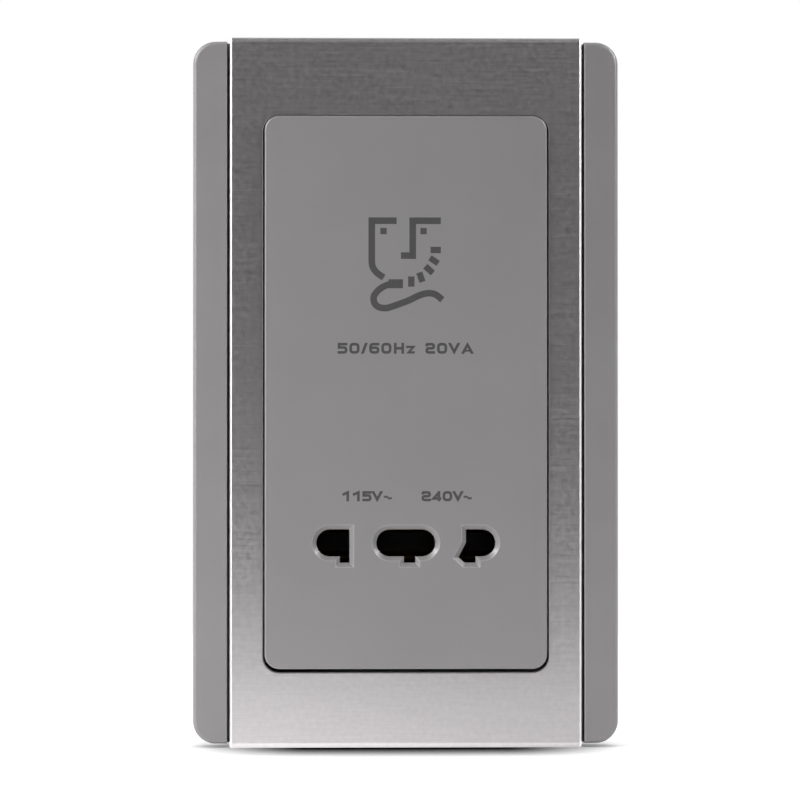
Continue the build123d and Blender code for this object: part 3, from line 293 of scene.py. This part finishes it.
def drawnMetal(look):
    finish, tree, shader, place = newFinish(look["name"], Metallic=1.0)
    drawn = addNode(tree, "ShaderNodeMapping", {"Vector": place},
                    Scale=tuple(1 / size for size in look["grain"]))
    lines = addNode(tree, "ShaderNodeTexNoise", {"Vector": drawn.outputs[0]}, Scale=1.0, Detail=2.0)
    wide = addNode(tree, "ShaderNodeMapRange", {"Value": lines.outputs["Fac"]}, **wideNoise)
    colour = addNode(tree, "ShaderNodeMix", {"Factor": wide.outputs[0]}, data_type="RGBA",
                     i6=linear(look["colours"][0]), i7=linear(look["colours"][1]))
    rough = addNode(tree, "ShaderNodeMapRange", {"Value": lines.outputs["Fac"]},
                    To_Min=look["roughness"][0], To_Max=look["roughness"][1], **wideNoise)
    relief = addNode(tree, "ShaderNodeBump", {"Height": lines.outputs["Fac"]}, Distance=look["grainHeight"])
    tree.links.new(colour.outputs[2], shader.inputs["Base Color"])
    tree.links.new(rough.outputs[0], shader.inputs["Roughness"])
    tree.links.new(relief.outputs[0], shader.inputs["Normal"])
    return finish


# Zinc-plated steel screws: bluish bright plating whose small crystals differ a little in tone
zinc = {"colours": ("#b3b8be", "#d2d5d9"), "roughness": (0.24, 0.36), "crystal": 0.5 * mm}


def zincPlatedSteel():
    finish, tree, shader, place = newFinish("zinc_plated_steel", Metallic=1.0)
    crystals = addNode(tree, "ShaderNodeTexVoronoi", {"Vector": place}, Scale=1 / zinc["crystal"])
    tone = addNode(tree, "ShaderNodeSeparateColor", {0: crystals.outputs["Color"]})
    colour = addNode(tree, "ShaderNodeMix", {"Factor": tone.outputs[0]}, data_type="RGBA",
                     i6=linear(zinc["colours"][0]), i7=linear(zinc["colours"][1]))
    rough = addNode(tree, "ShaderNodeMapRange", {"Value": tone.outputs[1]},
                    To_Min=zinc["roughness"][0], To_Max=zinc["roughness"][1])
    tree.links.new(colour.outputs[2], shader.inputs["Base Color"])
    tree.links.new(rough.outputs[0], shader.inputs["Roughness"])
    return finish


# Transformer core: stamped sheets stacked from back to front, dark in the joints, with a thin film of varnish
core = {
    "colours": ("#4b4d50", "#85878a"),
    "sheet": 0.5 * mm,
    "waver": 0.4,                       # how far the sheets stray from level, in bands
    "joint": 0.3,                       # share of the band's height that is joint
    "jointDepth": 0.05 * mm,
    "oil": 5 * mm,
    "roughness": (0.32, 0.5),
}


def stackedCoreSteel():
    finish, tree, shader, place = newFinish("stacked_core_steel", Metallic=0.9,
                                            Coat_Weight=0.3, Coat_Roughness=0.25)
    sheets = addNode(tree, "ShaderNodeTexWave", {"Vector": place}, bands_direction="Y",
                     Scale=bandScale(core["sheet"]), Distortion=core["waver"], Detail=1.0)
    film = addNode(tree, "ShaderNodeTexNoise", {"Vector": place}, Scale=1 / core["oil"], Detail=3.0)
    joint = addNode(tree, "ShaderNodeMapRange", {"Value": sheets.outputs["Fac"]}, From_Max=core["joint"])
    colour = addNode(tree, "ShaderNodeMix", {"Factor": joint.outputs[0]}, data_type="RGBA",
                     i6=linear(core["colours"][0]), i7=linear(core["colours"][1]))
    rough = addNode(tree, "ShaderNodeMapRange", {"Value": film.outputs["Fac"]},
                    To_Min=core["roughness"][0], To_Max=core["roughness"][1], **wideNoise)
    relief = addNode(tree, "ShaderNodeBump", {"Height": joint.outputs[0]}, Distance=core["jointDepth"])
    tree.links.new(colour.outputs[2], shader.inputs["Base Color"])
    tree.links.new(rough.outputs[0], shader.inputs["Roughness"])
    tree.links.new(relief.outputs[0], shader.inputs["Normal"])
    return finish


# Windings: turns of enamelled copper wire lying side by side round the bobbin, each with its own tone, under
# clear enamel. The wire is drawn thicker than a real 0.15 mm so that the turns show.
wire = {
    "colours": ("#7d3f1f", "#b8693a"),
    "pitch": 0.4 * mm,
    "height": 0.12 * mm,
    "tones": 60,                        # changes of tone in a metre of wire
}


def woundCopper():
    finish, tree, shader, place = newFinish("wound_enamelled_copper", Metallic=1.0, Roughness=0.25,
                                            Coat_Weight=0.6, Coat_Roughness=0.12)
    turns = addNode(tree, "ShaderNodeTexWave", {"Vector": place}, bands_direction="Z",
                    Scale=bandScale(wire["pitch"]))
    level = addNode(tree, "ShaderNodeMapping", {"Vector": place},
                    Scale=(wire["tones"], wire["tones"], 1 / wire["pitch"]))
    tones = addNode(tree, "ShaderNodeTexNoise", {"Vector": level.outputs[0]}, Scale=1.0, Detail=1.0)
    wide = addNode(tree, "ShaderNodeMapRange", {"Value": tones.outputs["Fac"]}, **wideNoise)
    colour = addNode(tree, "ShaderNodeMix", {"Factor": wide.outputs[0]}, data_type="RGBA",
                     i6=linear(wire["colours"][0]), i7=linear(wire["colours"][1]))
    relief = addNode(tree, "ShaderNodeBump", {"Height": turns.outputs["Fac"]}, Distance=wire["height"])
    tree.links.new(colour.outputs[2], shader.inputs["Base Color"])
    tree.links.new(relief.outputs[0], shader.inputs["Normal"])
    return finish


# Polyester tape round the windings: glossy yellow film that shows the turns below it as a soft ripple
tape = {
    "colours": ("#c79f2e", "#d9b54c"),
    "ripple": 0.9 * mm,
    "waver": 2.0,                       # how far the ripples stray from level, in bands
    "rippleHeight": 0.05 * mm,
    "cloud": 5 * mm,
}


def polyesterTape():
    finish, tree, shader, place = newFinish("polyester_tape_film", IOR=1.6, Roughness=0.22, Coat_Weight=0.3)
    ripple = addNode(tree, "ShaderNodeTexWave", {"Vector": place}, bands_direction="Z",
                     Scale=bandScale(tape["ripple"]), Distortion=tape["waver"], Detail=1.0)
    clouds = addNode(tree, "ShaderNodeTexNoise", {"Vector": place}, Scale=1 / tape["cloud"])
    wide = addNode(tree, "ShaderNodeMapRange", {"Value": clouds.outputs["Fac"]}, **wideNoise)
    colour = addNode(tree, "ShaderNodeMix", {"Factor": wide.outputs[0]}, data_type="RGBA",
                     i6=linear(tape["colours"][0]), i7=linear(tape["colours"][1]))
    relief = addNode(tree, "ShaderNodeBump", {"Height": ripple.outputs["Fac"]}, Distance=tape["rippleHeight"])
    tree.links.new(colour.outputs[2], shader.inputs["Base Color"])
    tree.links.new(relief.outputs[0], shader.inputs["Normal"])
    return finish


finishes = {
    "satin_metal": brushedSteel(),
    "zinc_steel": zincPlatedSteel(),
    "core_steel": stackedCoreSteel(),
    "enamelled_copper": woundCopper(),
    "polyester_tape": polyesterTape(),
    **{slot: mouldedPlastic(look) for slot, look in mouldings.items()},
    **{slot: drawnMetal(look) for slot, look in drawnMetals.items()},
}
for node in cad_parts.values():
    for holder in node.material_slots:
        holder.material = finishes[holder.material.name.split(".")[0]]
print("materials set:", len(finishes))

# Printed marks: pad-printed ink lies on the panel's face
printing = {
    "colours": ("#3f3e3e", "#464545"),
    "roughness": (0.5, 0.62),
    "cloud": 0.6 * mm,
    "thickness": 0.02 * mm,
    "lap": 0.0005 * mm,         # each stroke lies this much over the one before
}
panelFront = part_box("socket_panel")[0][1]


# Pad-printed ink: flat dark grey, a little uneven where the pad pulled off
def printingInk():
    finish, tree, shader, place = newFinish("pad_printed_ink", IOR=1.5)
    clouds = addNode(tree, "ShaderNodeTexNoise", {"Vector": place}, Scale=1 / printing["cloud"], Detail=2.0)
    wide = addNode(tree, "ShaderNodeMapRange", {"Value": clouds.outputs["Fac"]}, **wideNoise)
    colour = addNode(tree, "ShaderNodeMix", {"Factor": wide.outputs[0]}, data_type="RGBA",
                     i6=linear(printing["colours"][0]), i7=linear(printing["colours"][1]))
    rough = addNode(tree, "ShaderNodeMapRange", {"Value": clouds.outputs["Fac"]},
                    To_Min=printing["roughness"][0], To_Max=printing["roughness"][1], **wideNoise)
    tree.links.new(colour.outputs[2], shader.inputs["Base Color"])
    tree.links.new(rough.outputs[0], shader.inputs["Roughness"])
    return finish


ink = printingInk()
samePoint = 1e-6                # mm, points closer than this are one


# A flat bar along a path. At each point half the width is laid off along the bisector of the two runs,
# divided by the cosine of half the turn, so every run keeps its width. Level ends are cut along the panel's
# width.
def bar(points, width, closed=False, levelEnds=False):
    points = np.asarray(points, float)
    if closed:
        points = np.vstack([points, points[:1]])
    steps = np.diff(points, axis=0)
    lengths = np.linalg.norm(steps, axis=1)
    apart = lengths > samePoint             # corners that share a run can meet
    points = points[np.append(True, apart)]
    way = steps[apart] / lengths[apart][:, None]
    across = np.stack([-way[:, 1], way[:, 0]], axis=1)
    before = np.vstack([across[-1:] if closed else across[:1], across])
    after = np.vstack([across, across[:1] if closed else across[-1:]])
    mitre = (before + after) / (1 + (before * after).sum(axis=1, keepdims=True))
    if levelEnds:
        mitre[[0, -1]] = np.array([1.0, 0.0]) / across[[0, -1]][:, :1]
    if closed:
        points, mitre = points[:-1], mitre[:-1]
    return points[:, None, :] + mitre[:, None, :] * width * np.array([0.5, -0.5])[None, :, None], closed


# A path with each corner replaced by a curve that touches both runs at the radius and is pulled to the corner
def rounded(points, radius, closed=False, steps=6):
    points = np.asarray(points, float)
    if closed:
        points = np.vstack([points[-1:], points, points[:1]])
    runs = np.diff(points, axis=0)
    lengths = np.linalg.norm(runs, axis=1)
    way = runs / lengths[:, None]
    cut = np.minimum(radius, np.minimum(lengths[:-1], lengths[1:]) / 2)[:, None, None]
    t = np.linspace(0, 1, steps)[None, :, None]
    start = points[1:-1, None, :] - way[:-1, None, :] * cut
    end = points[1:-1, None, :] + way[1:, None, :] * cut
    curves = ((1 - t) ** 2 * start + 2 * t * (1 - t) * points[1:-1, None, :] + t ** 2 * end).reshape(-1, 2)
    return curves if closed else np.vstack([points[:1], curves, points[-1:]])


# A smooth curve through the points: on each run a cubic whose end slopes are half the step between the
# neighbours
def smoothed(points, steps=8):
    points = np.asarray(points, float)
    padded = np.vstack([2 * points[0] - points[1], points, 2 * points[-1] - points[-2]])
    a, b, c, d = padded[:-3, None], padded[1:-2, None], padded[2:-1, None], padded[3:, None]
    t = np.linspace(0, 1, steps, endpoint=False)[None, :, None]
    square, cube = 2 * a - 5 * b + 4 * c - d, 3 * b - a - 3 * c + d
    curve = b + t * (c - a) / 2 + t ** 2 * square / 2 + t ** 3 * cube / 2
    return np.vstack([curve.reshape(-1, 2), points[-1:]])


# A curve from the first point to the last that two points between pull to themselves: each point is weighted
# by the powers of t and of 1 - t
def pulled(points, steps=12):
    a, b, c, d = np.asarray(points, float)
    t = np.linspace(0, 1, steps)[:, None]
    return (1 - t) ** 3 * a + 3 * t * (1 - t) ** 2 * b + 3 * t ** 2 * (1 - t) * c + t ** 3 * d


# A short bar of that length, turned by angle degrees about its middle
def dash(x, z, length, width, angle):
    half = length / 2 * np.array([math.cos(math.radians(angle)), math.sin(math.radians(angle))])
    return bar([(x, z) - half, (x, z) + half], width)


# One piece of ink. Every stroke is a closed box section: two points on the panel and two on top of the ink.
def printed(name, strokes):
    corners, faces, first = [], [], 0
    for order, (sides, closed) in enumerate(strokes):
        count = len(sides)
        ring = np.empty((count, 4, 3))
        ring[:, :, 0] = sides[:, [0, 1, 1, 0], 0] * mm
        ring[:, :, 2] = sides[:, [0, 1, 1, 0], 1] * mm
        reach = printing["thickness"] + order * printing["lap"]
        ring[:, :, 1] = panelFront - np.array([1, 1, -1, -1]) * reach
        near = np.arange(count if closed else count - 1)[:, None] * 4
        far = (near + 4) % (count * 4)
        edge = np.arange(4)[None, :]
        after = (edge + 1) % 4
        walls = np.stack([near + edge, near + after, far + after, far + edge], axis=2).reshape(-1, 4)
        if not closed:
            walls = np.vstack([walls, [[3, 2, 1, 0]], np.array([[0, 1, 2, 3]]) + (count - 1) * 4])
        corners.append(ring.reshape(-1, 3))
        faces.append(walls + first)
        first += count * 4
    mesh = bpy.data.meshes.new(name)
    mesh.from_pydata(np.vstack(corners).tolist(), [], np.vstack(faces).tolist())
    shells = bmesh.new()
    shells.from_mesh(mesh)
    bmesh.ops.recalc_face_normals(shells, faces=shells.faces)
    shells.to_mesh(mesh)
    shells.free()
    mesh.materials.append(ink)
    piece = bpy.data.objects.new(name, mesh)
    scene.collection.objects.link(piece)
    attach(piece, "root")


# The common sign for a shaver outlet: half a face, a shaver at the chin and its cord. Places and widths are
# mm on the panel, across and up.
shaverSign = {
    "line": 1.36,
    "brow": [(-1.94, 35.42), (-7.07, 35.42)],
    "jaw": [(-7.07, 27.0), (-7.07, 25.3), (-5.95, 24.5), (-4.6, 23.68)],
    "nose": [(7.19, 35.42), (1.39, 35.42), (1.39, 28.22), (-1.04, 28.22)],
    "eyeLine": 1.3,
    "eyes": ([(-5.3, 33.29), (-4.0, 33.29)], [(2.98, 33.29), (4.28, 33.29)]),
    "stubble": [                # place, length, width and angle in degrees
        (6.13, 29.38, 2.13, 1.3, 0),
        (5.79, 27.2, 2.05, 1.25, -34.6),
        (4.77, 25.32, 2.1, 1.3, -42),
        (3.07, 23.76, 2.05, 1.3, -71.2),
        (1.09, 22.85, 2.11, 1.3, -90),
    ],
    "cord": [(-3.3, 22.38), (-4.85, 21.7), (-5.95, 20.82), (-6.66, 19.72), (-6.5, 18.4), (-5.7, 17.64),
             (-4.5, 17.37), (-3.17, 17.6), (0.42, 18.9), (2.1, 19.72), (3.5, 20.26), (4.9, 20.46),
             (6.2, 20.12), (7.5, 19.1)],
    "shaverLine": 1.85,
    "shaver": [(-3.6, 22.4), (-0.63, 22.4)],
}
leftEye, rightEye = shaverSign["eyes"]
printed("shaver_sign", [
    bar(np.vstack([shaverSign["brow"], pulled(shaverSign["jaw"])]), shaverSign["line"]),
    bar(leftEye, shaverSign["eyeLine"]),
    bar(shaverSign["nose"], shaverSign["line"]),
    bar(rightEye, shaverSign["eyeLine"]),
    *[dash(*place) for place in shaverSign["stubble"]],
    bar(smoothed(shaverSign["cord"]), shaverSign["line"]),
    bar(shaverSign["shaver"], shaverSign["shaverLine"]),
])

# The ratings, in mm on the panel as well. A row stands on its foot, and spans give each sign's two ends.
lettering = {"line": 0.55, "waveLine": 0.4, "corner": 0.6}
ratings = {
    "rating_low": {
        "text": "115V~", "foot": -22.5, "height": 2.1,
        "spans": [(-13.1, -11.75), (-10.95, -9.55), (-9.0, -7.1), (-7.15, -4.75), (-4.55, -2.95)],
    },
    "rating_high": {
        "text": "240V~", "foot": -22.5, "height": 2.1,
        "spans": [(3.2, 5.15), (5.42, 7.3), (7.55, 9.55), (9.55, 11.9), (11.95, 13.55)],
    },
    "rating_line": {
        "text": "50/60Hz20VA", "foot": 7.95, "height": 2.25,
        "spans": [(-14.1, -12.1), (-11.7, -9.6), (-9.3, -7.9), (-7.6, -5.5), (-5.1, -3.0), (-2.5, -0.4),
                  (0.0, 1.8), (4.0, 6.0), (6.4, 8.5), (8.7, 11.2), (11.4, 14.0)],
    },
}


# Strokes of one sign, w wide and h high, in wide squarish forms of one line width. A number that multiplies
# w, h or line is the place of a stroke as a share of it.
def letter(sign, w, h):
    line, corner = lettering["line"], lettering["corner"]
    i = line / 2
    r, top, mid = w - i, h - i, h / 2
    if sign == "0":
        return [bar(rounded([(i, i), (r, i), (r, top), (i, top)], corner, closed=True), line, closed=True)]
    if sign == "1":
        return [bar([(0, 0.64 * h), (r, top), (r, 0)], line)]
    if sign == "2":
        hook = [(i, 0.68 * h), (i, top), (r, top), (r, mid), (i, mid), (i, i), (w, i)]
        return [bar(rounded(hook, corner), line)]
    if sign == "4":
        stem = 0.74 * w
        return [bar([(w, 0.27 * h), (i, 0.27 * h), (stem, top)], line), bar([(stem, h), (stem, 0)], line)]
    if sign == "5":
        bowl = rounded([(i, 0.57 * h), (r, 0.57 * h), (r, i), (0, i)], corner)
        return [bar(np.vstack([[(w, top), (i, top)], bowl]), line)]
    if sign == "6":
        bowl = [(w, top), (i, top), (i, i), (r, i), (r, 0.55 * h), (line, 0.55 * h)]
        return [bar(rounded(bowl, corner), line)]
    if sign == "/":
        return [bar([(i, 0), (r, h)], line, levelEnds=True)]
    if sign == "H":
        return [bar([(i, 0), (i, h)], line), bar([(r, 0), (r, h)], line),
                bar([(line, mid), (w - line, mid)], line)]
    if sign == "z":
        return [bar([(0, 0.75 * h - i), (r, 0.75 * h - i), (line, i), (w, i)], 0.85 * line)]
    if sign == "A":
        return [bar([(i, 0), (w / 2, h - 0.7 * line), (r, 0)], line, levelEnds=True),
                bar([(0.28 * w, 0.28 * h), (0.72 * w, 0.28 * h)], 0.7 * line)]
    if sign == "V":
        return [bar([(i, h), (w / 2, 0.7 * line), (r, h)], line, levelEnds=True)]
    # what is left is the wave for alternating current, one whole turn of a sine
    turn = np.linspace(0, 2 * math.pi, 17)
    wave = np.stack([w * turn / turn[-1], 0.37 * h + 0.1 * h * np.sin(turn)], axis=1)
    return [bar(wave, lettering["waveLine"])]


def row(look):
    return [(sides + (start, look["foot"]), closed) for sign, (start, end) in zip(look["text"], look["spans"])
            for sides, closed in letter(sign, end - start, look["height"])]


for name, look in ratings.items():
    printed(name, row(look))
print("marks printed:", 1 + len(ratings))

# Studio: a short white table in a dim studio, bright on its sides and behind
studio = {
    "tableHeight": -73.35 * mm,
    "tableFront": -0.20,
    "tableBack": 0.6,
    "tableHalf": 0.6,
    "paper": "#f4f4f4",
    "white": (0.07, 0.18),              # from the plate, where the table fades to plain white
    "contact": 35 * mm,                 # reach of the painted shadow close to the plate
    "contactPower": 2.0,                # how fast it darkens towards the plate
    "contactHalf": (20 * mm, 54 * mm),  # half width over which it lightens towards the plate's ends
    "covered": (0.53, 0.0),             # share of open sky that counts as none, before and behind the plate,
    "coveredDepth": 20 * mm,            # from the one to the other over this depth from the wall
    "tableGlow": 0.35,                  # light on the table that the lamps below don't give
    "mirrored": (1.25, 0.72),           # light that the metal sees on the table, at the left and right,
    "mirrorHalf": 50 * mm,              # from the one to the other over twice this width
    "dim": (0.05, 0.3),                 # level of the studio behind the camera, below and above the heights
    "dimHeights": (0.03, 0.25),         # that these shares along Z give,
    "dimSides": (1.5, 0.5),             # times this, on the left and right
    "dimTurn": 0.5,                     # beyond this share along X
    "behind": (0.1, 0.4),               # directions, by their share along Y, where it turns bright
}
middle = (0, -11 * mm, 0)               # what the lamps are turned to
lamps = {                               # each lights only diffuse or only glossy surfaces
    "top_box": {"place": (0, -0.1, 0.9), "size": (1.0, 1.0), "radiance": 1.9, "lights": "diffuse"},
    "left_fill": {"place": (-0.32, -0.25, -0.03), "size": (0.22, 0.35), "radiance": 4.2, "lights": "diffuse"},
    "right_fill": {"place": (0.5, -0.45, 0.1), "size": (0.3, 0.4), "radiance": 0.7, "lights": "diffuse"},
    "left_box": {"place": (-0.55, -0.3, 0.3), "size": (0.22, 0.75), "radiance": 8.0, "lights": "glossy"},
    "right_box": {"place": (0.55, -0.3, 0.3), "size": (0.22, 0.75), "radiance": 7.0, "lights": "glossy"},
    "left_spot": {"place": (-0.5, -0.09, 0.3), "size": (0.18, 0.18), "radiance": 22.0, "lights": "glossy"},
    "right_spot": {"place": (0.5, -0.09, 0.3), "size": (0.18, 0.18), "radiance": 22.0, "lights": "glossy"},
    "left_strip": {"place": (-0.6, -0.05, 0.15), "size": (0.3, 1.1), "radiance": 2.6, "lights": "glossy"},
    "right_strip": {"place": (0.6, -0.05, 0.15), "size": (0.3, 1.1), "radiance": 1.8, "lights": "glossy"},
}


# Area lamp of that radiance, hidden from the camera. Its power is the radiance times pi times its area.
def addLamp(name, look):
    data = bpy.data.lights.new(name, "AREA")
    data.shape = "RECTANGLE"
    data.size, data.size_y = look["size"]
    data.energy = look["radiance"] * math.pi * data.size * data.size_y
    lamp = bpy.data.objects.new(name, data)
    scene.collection.objects.link(lamp)
    aimAt(lamp, look["place"], middle)
    lamp.visible_camera = False
    lamp.visible_diffuse = look["lights"] == "diffuse"
    lamp.visible_glossy = look["lights"] == "glossy"


# White paper on the table. The camera sees it lit, with a painted shadow, a soft dark contact line near the
# plate, and plain white further off. Metal sees the level of light that is set for it, and everything else
# sees plain paper.
def tablePaper():
    finish, tree, shader, place = newFinish("white_table_paper", Roughness=0.9,
                                            Base_Color=linear(studio["paper"]))
    reach = addNode(tree, "ShaderNodeVectorMath", {0: place}, operation="LENGTH")
    away = addNode(tree, "ShaderNodeMapRange", {"Value": reach.outputs["Value"]},
                   interpolation_type="SMOOTHSTEP", From_Min=studio["white"][0], From_Max=studio["white"][1])
    # painted shadow: the paper darkens by how little open sky it sees near the plate
    covered = addNode(tree, "ShaderNodeAmbientOcclusion", samples=16, Distance=studio["contact"])
    axes = addNode(tree, "ShaderNodeSeparateXYZ", {0: place})
    hidden = addNode(tree, "ShaderNodeMapRange", {"Value": axes.outputs["Y"]},
                     From_Min=0.0, From_Max=studio["coveredDepth"],
                     To_Min=studio["covered"][0], To_Max=studio["covered"][1])
    opened = addNode(tree, "ShaderNodeMapRange",
                     {"Value": covered.outputs["AO"], "From Min": hidden.outputs[0]}, From_Max=1.0)
    soft = addNode(tree, "ShaderNodeMath", {0: opened.outputs[0]}, operation="POWER",
                   i1=studio["contactPower"])
    side = addNode(tree, "ShaderNodeMath", {0: axes.outputs["X"]}, operation="ABSOLUTE")
    shadowFadeAtEnds = addNode(tree, "ShaderNodeMapRange", {"Value": side.outputs[0]}, interpolation_type="SMOOTHSTEP",
                      From_Min=studio["contactHalf"][0], From_Max=studio["contactHalf"][1])
    paintedShadow = addNode(tree, "ShaderNodeMix", {0: shadowFadeAtEnds.outputs[0], 2: soft.outputs[0]},
                    data_type="FLOAT", i3=1.0)
    plain = addNode(tree, "ShaderNodeEmission", {"Strength": paintedShadow.outputs[0]})
    lit = addNode(tree, "ShaderNodeBsdfDiffuse", {"Color": paintedShadow.outputs[0]})
    shown = addNode(tree, "ShaderNodeMixShader", {0: away.outputs[0], 1: lit.outputs[0], 2: plain.outputs[0]})
    glow = addNode(tree, "ShaderNodeEmission", {"Strength": paintedShadow.outputs[0]},
                   Color=(studio["tableGlow"],) * 3 + (1,))
    toCamera = addNode(tree, "ShaderNodeAddShader", {0: shown.outputs[0], 1: glow.outputs[0]})
    paths = addNode(tree, "ShaderNodeLightPath")
    across = addNode(tree, "ShaderNodeMapRange", {"Value": axes.outputs["X"]},
                     interpolation_type="SMOOTHSTEP",
                     From_Min=-studio["mirrorHalf"], From_Max=studio["mirrorHalf"],
                     To_Min=studio["mirrored"][0], To_Max=studio["mirrored"][1])
    glossy = addNode(tree, "ShaderNodeMath", {0: across.outputs[0], 1: paths.outputs["Is Glossy Ray"]},
                     operation="MULTIPLY")
    mirrored = addNode(tree, "ShaderNodeEmission", {"Strength": glossy.outputs[0]})
    toRest = addNode(tree, "ShaderNodeAddShader", {0: shader.outputs[0], 1: mirrored.outputs[0]})
    paper = addNode(tree, "ShaderNodeMixShader",
                    {0: paths.outputs["Is Camera Ray"], 1: toRest.outputs[0], 2: toCamera.outputs[0]})
    tree.links.new(paper.outputs[0], tree.nodes["Material Output"].inputs["Surface"])
    return finish


def addTable():
    x, z = studio["tableHalf"], studio["tableHeight"]
    front, back = studio["tableFront"], studio["tableBack"]
    mesh = bpy.data.meshes.new("table")
    mesh.from_pydata([(-x, front, z), (x, front, z), (x, back, z), (-x, back, z)], [], [(0, 1, 2, 3)])
    mesh.materials.append(tablePaper())
    table = bpy.data.objects.new("table", mesh)
    scene.collection.objects.link(table)


# White to the camera and through glass. To everything else it is bright behind the plate and dim in front.
def addBackdrop():
    world = bpy.data.worlds.new("studio")
    world.use_nodes = True
    scene.world = world
    tree = world.node_tree
    paths = addNode(tree, "ShaderNodeLightPath")
    way = addNode(tree, "ShaderNodeTexCoord")
    axes = addNode(tree, "ShaderNodeSeparateXYZ", {0: way.outputs["Generated"]})
    side = addNode(tree, "ShaderNodeMapRange", {"Value": axes.outputs["X"]},
                   From_Min=-studio["dimTurn"], From_Max=studio["dimTurn"],
                   To_Min=studio["dimSides"][0], To_Max=studio["dimSides"][1])
    above = addNode(tree, "ShaderNodeMapRange", {"Value": axes.outputs["Z"]},
                    interpolation_type="SMOOTHSTEP",
                    From_Min=studio["dimHeights"][0], From_Max=studio["dimHeights"][1],
                    To_Min=studio["dim"][0], To_Max=studio["dim"][1])
    dim = addNode(tree, "ShaderNodeMath", {0: side.outputs[0], 1: above.outputs[0]}, operation="MULTIPLY")
    level = addNode(tree, "ShaderNodeMapRange", {"Value": axes.outputs["Y"], "To Min": dim.outputs[0]},
                    From_Min=studio["behind"][0], From_Max=studio["behind"][1], To_Max=1.0)
    seen = addNode(tree, "ShaderNodeMath",
                   {0: paths.outputs["Is Camera Ray"], 1: paths.outputs["Is Transmission Ray"]},
                   operation="MAXIMUM")
    strength = addNode(tree, "ShaderNodeMath", {0: level.outputs[0], 1: seen.outputs[0]},
                       operation="MAXIMUM")
    background = tree.nodes["Background"]
    background.inputs["Color"].default_value = (1, 1, 1, 1)
    tree.links.new(strength.outputs[0], background.inputs["Strength"])


addTable()
addBackdrop()
for name, look in lamps.items():
    addLamp(name, look)
print("studio set:", len(lamps), "lamps")
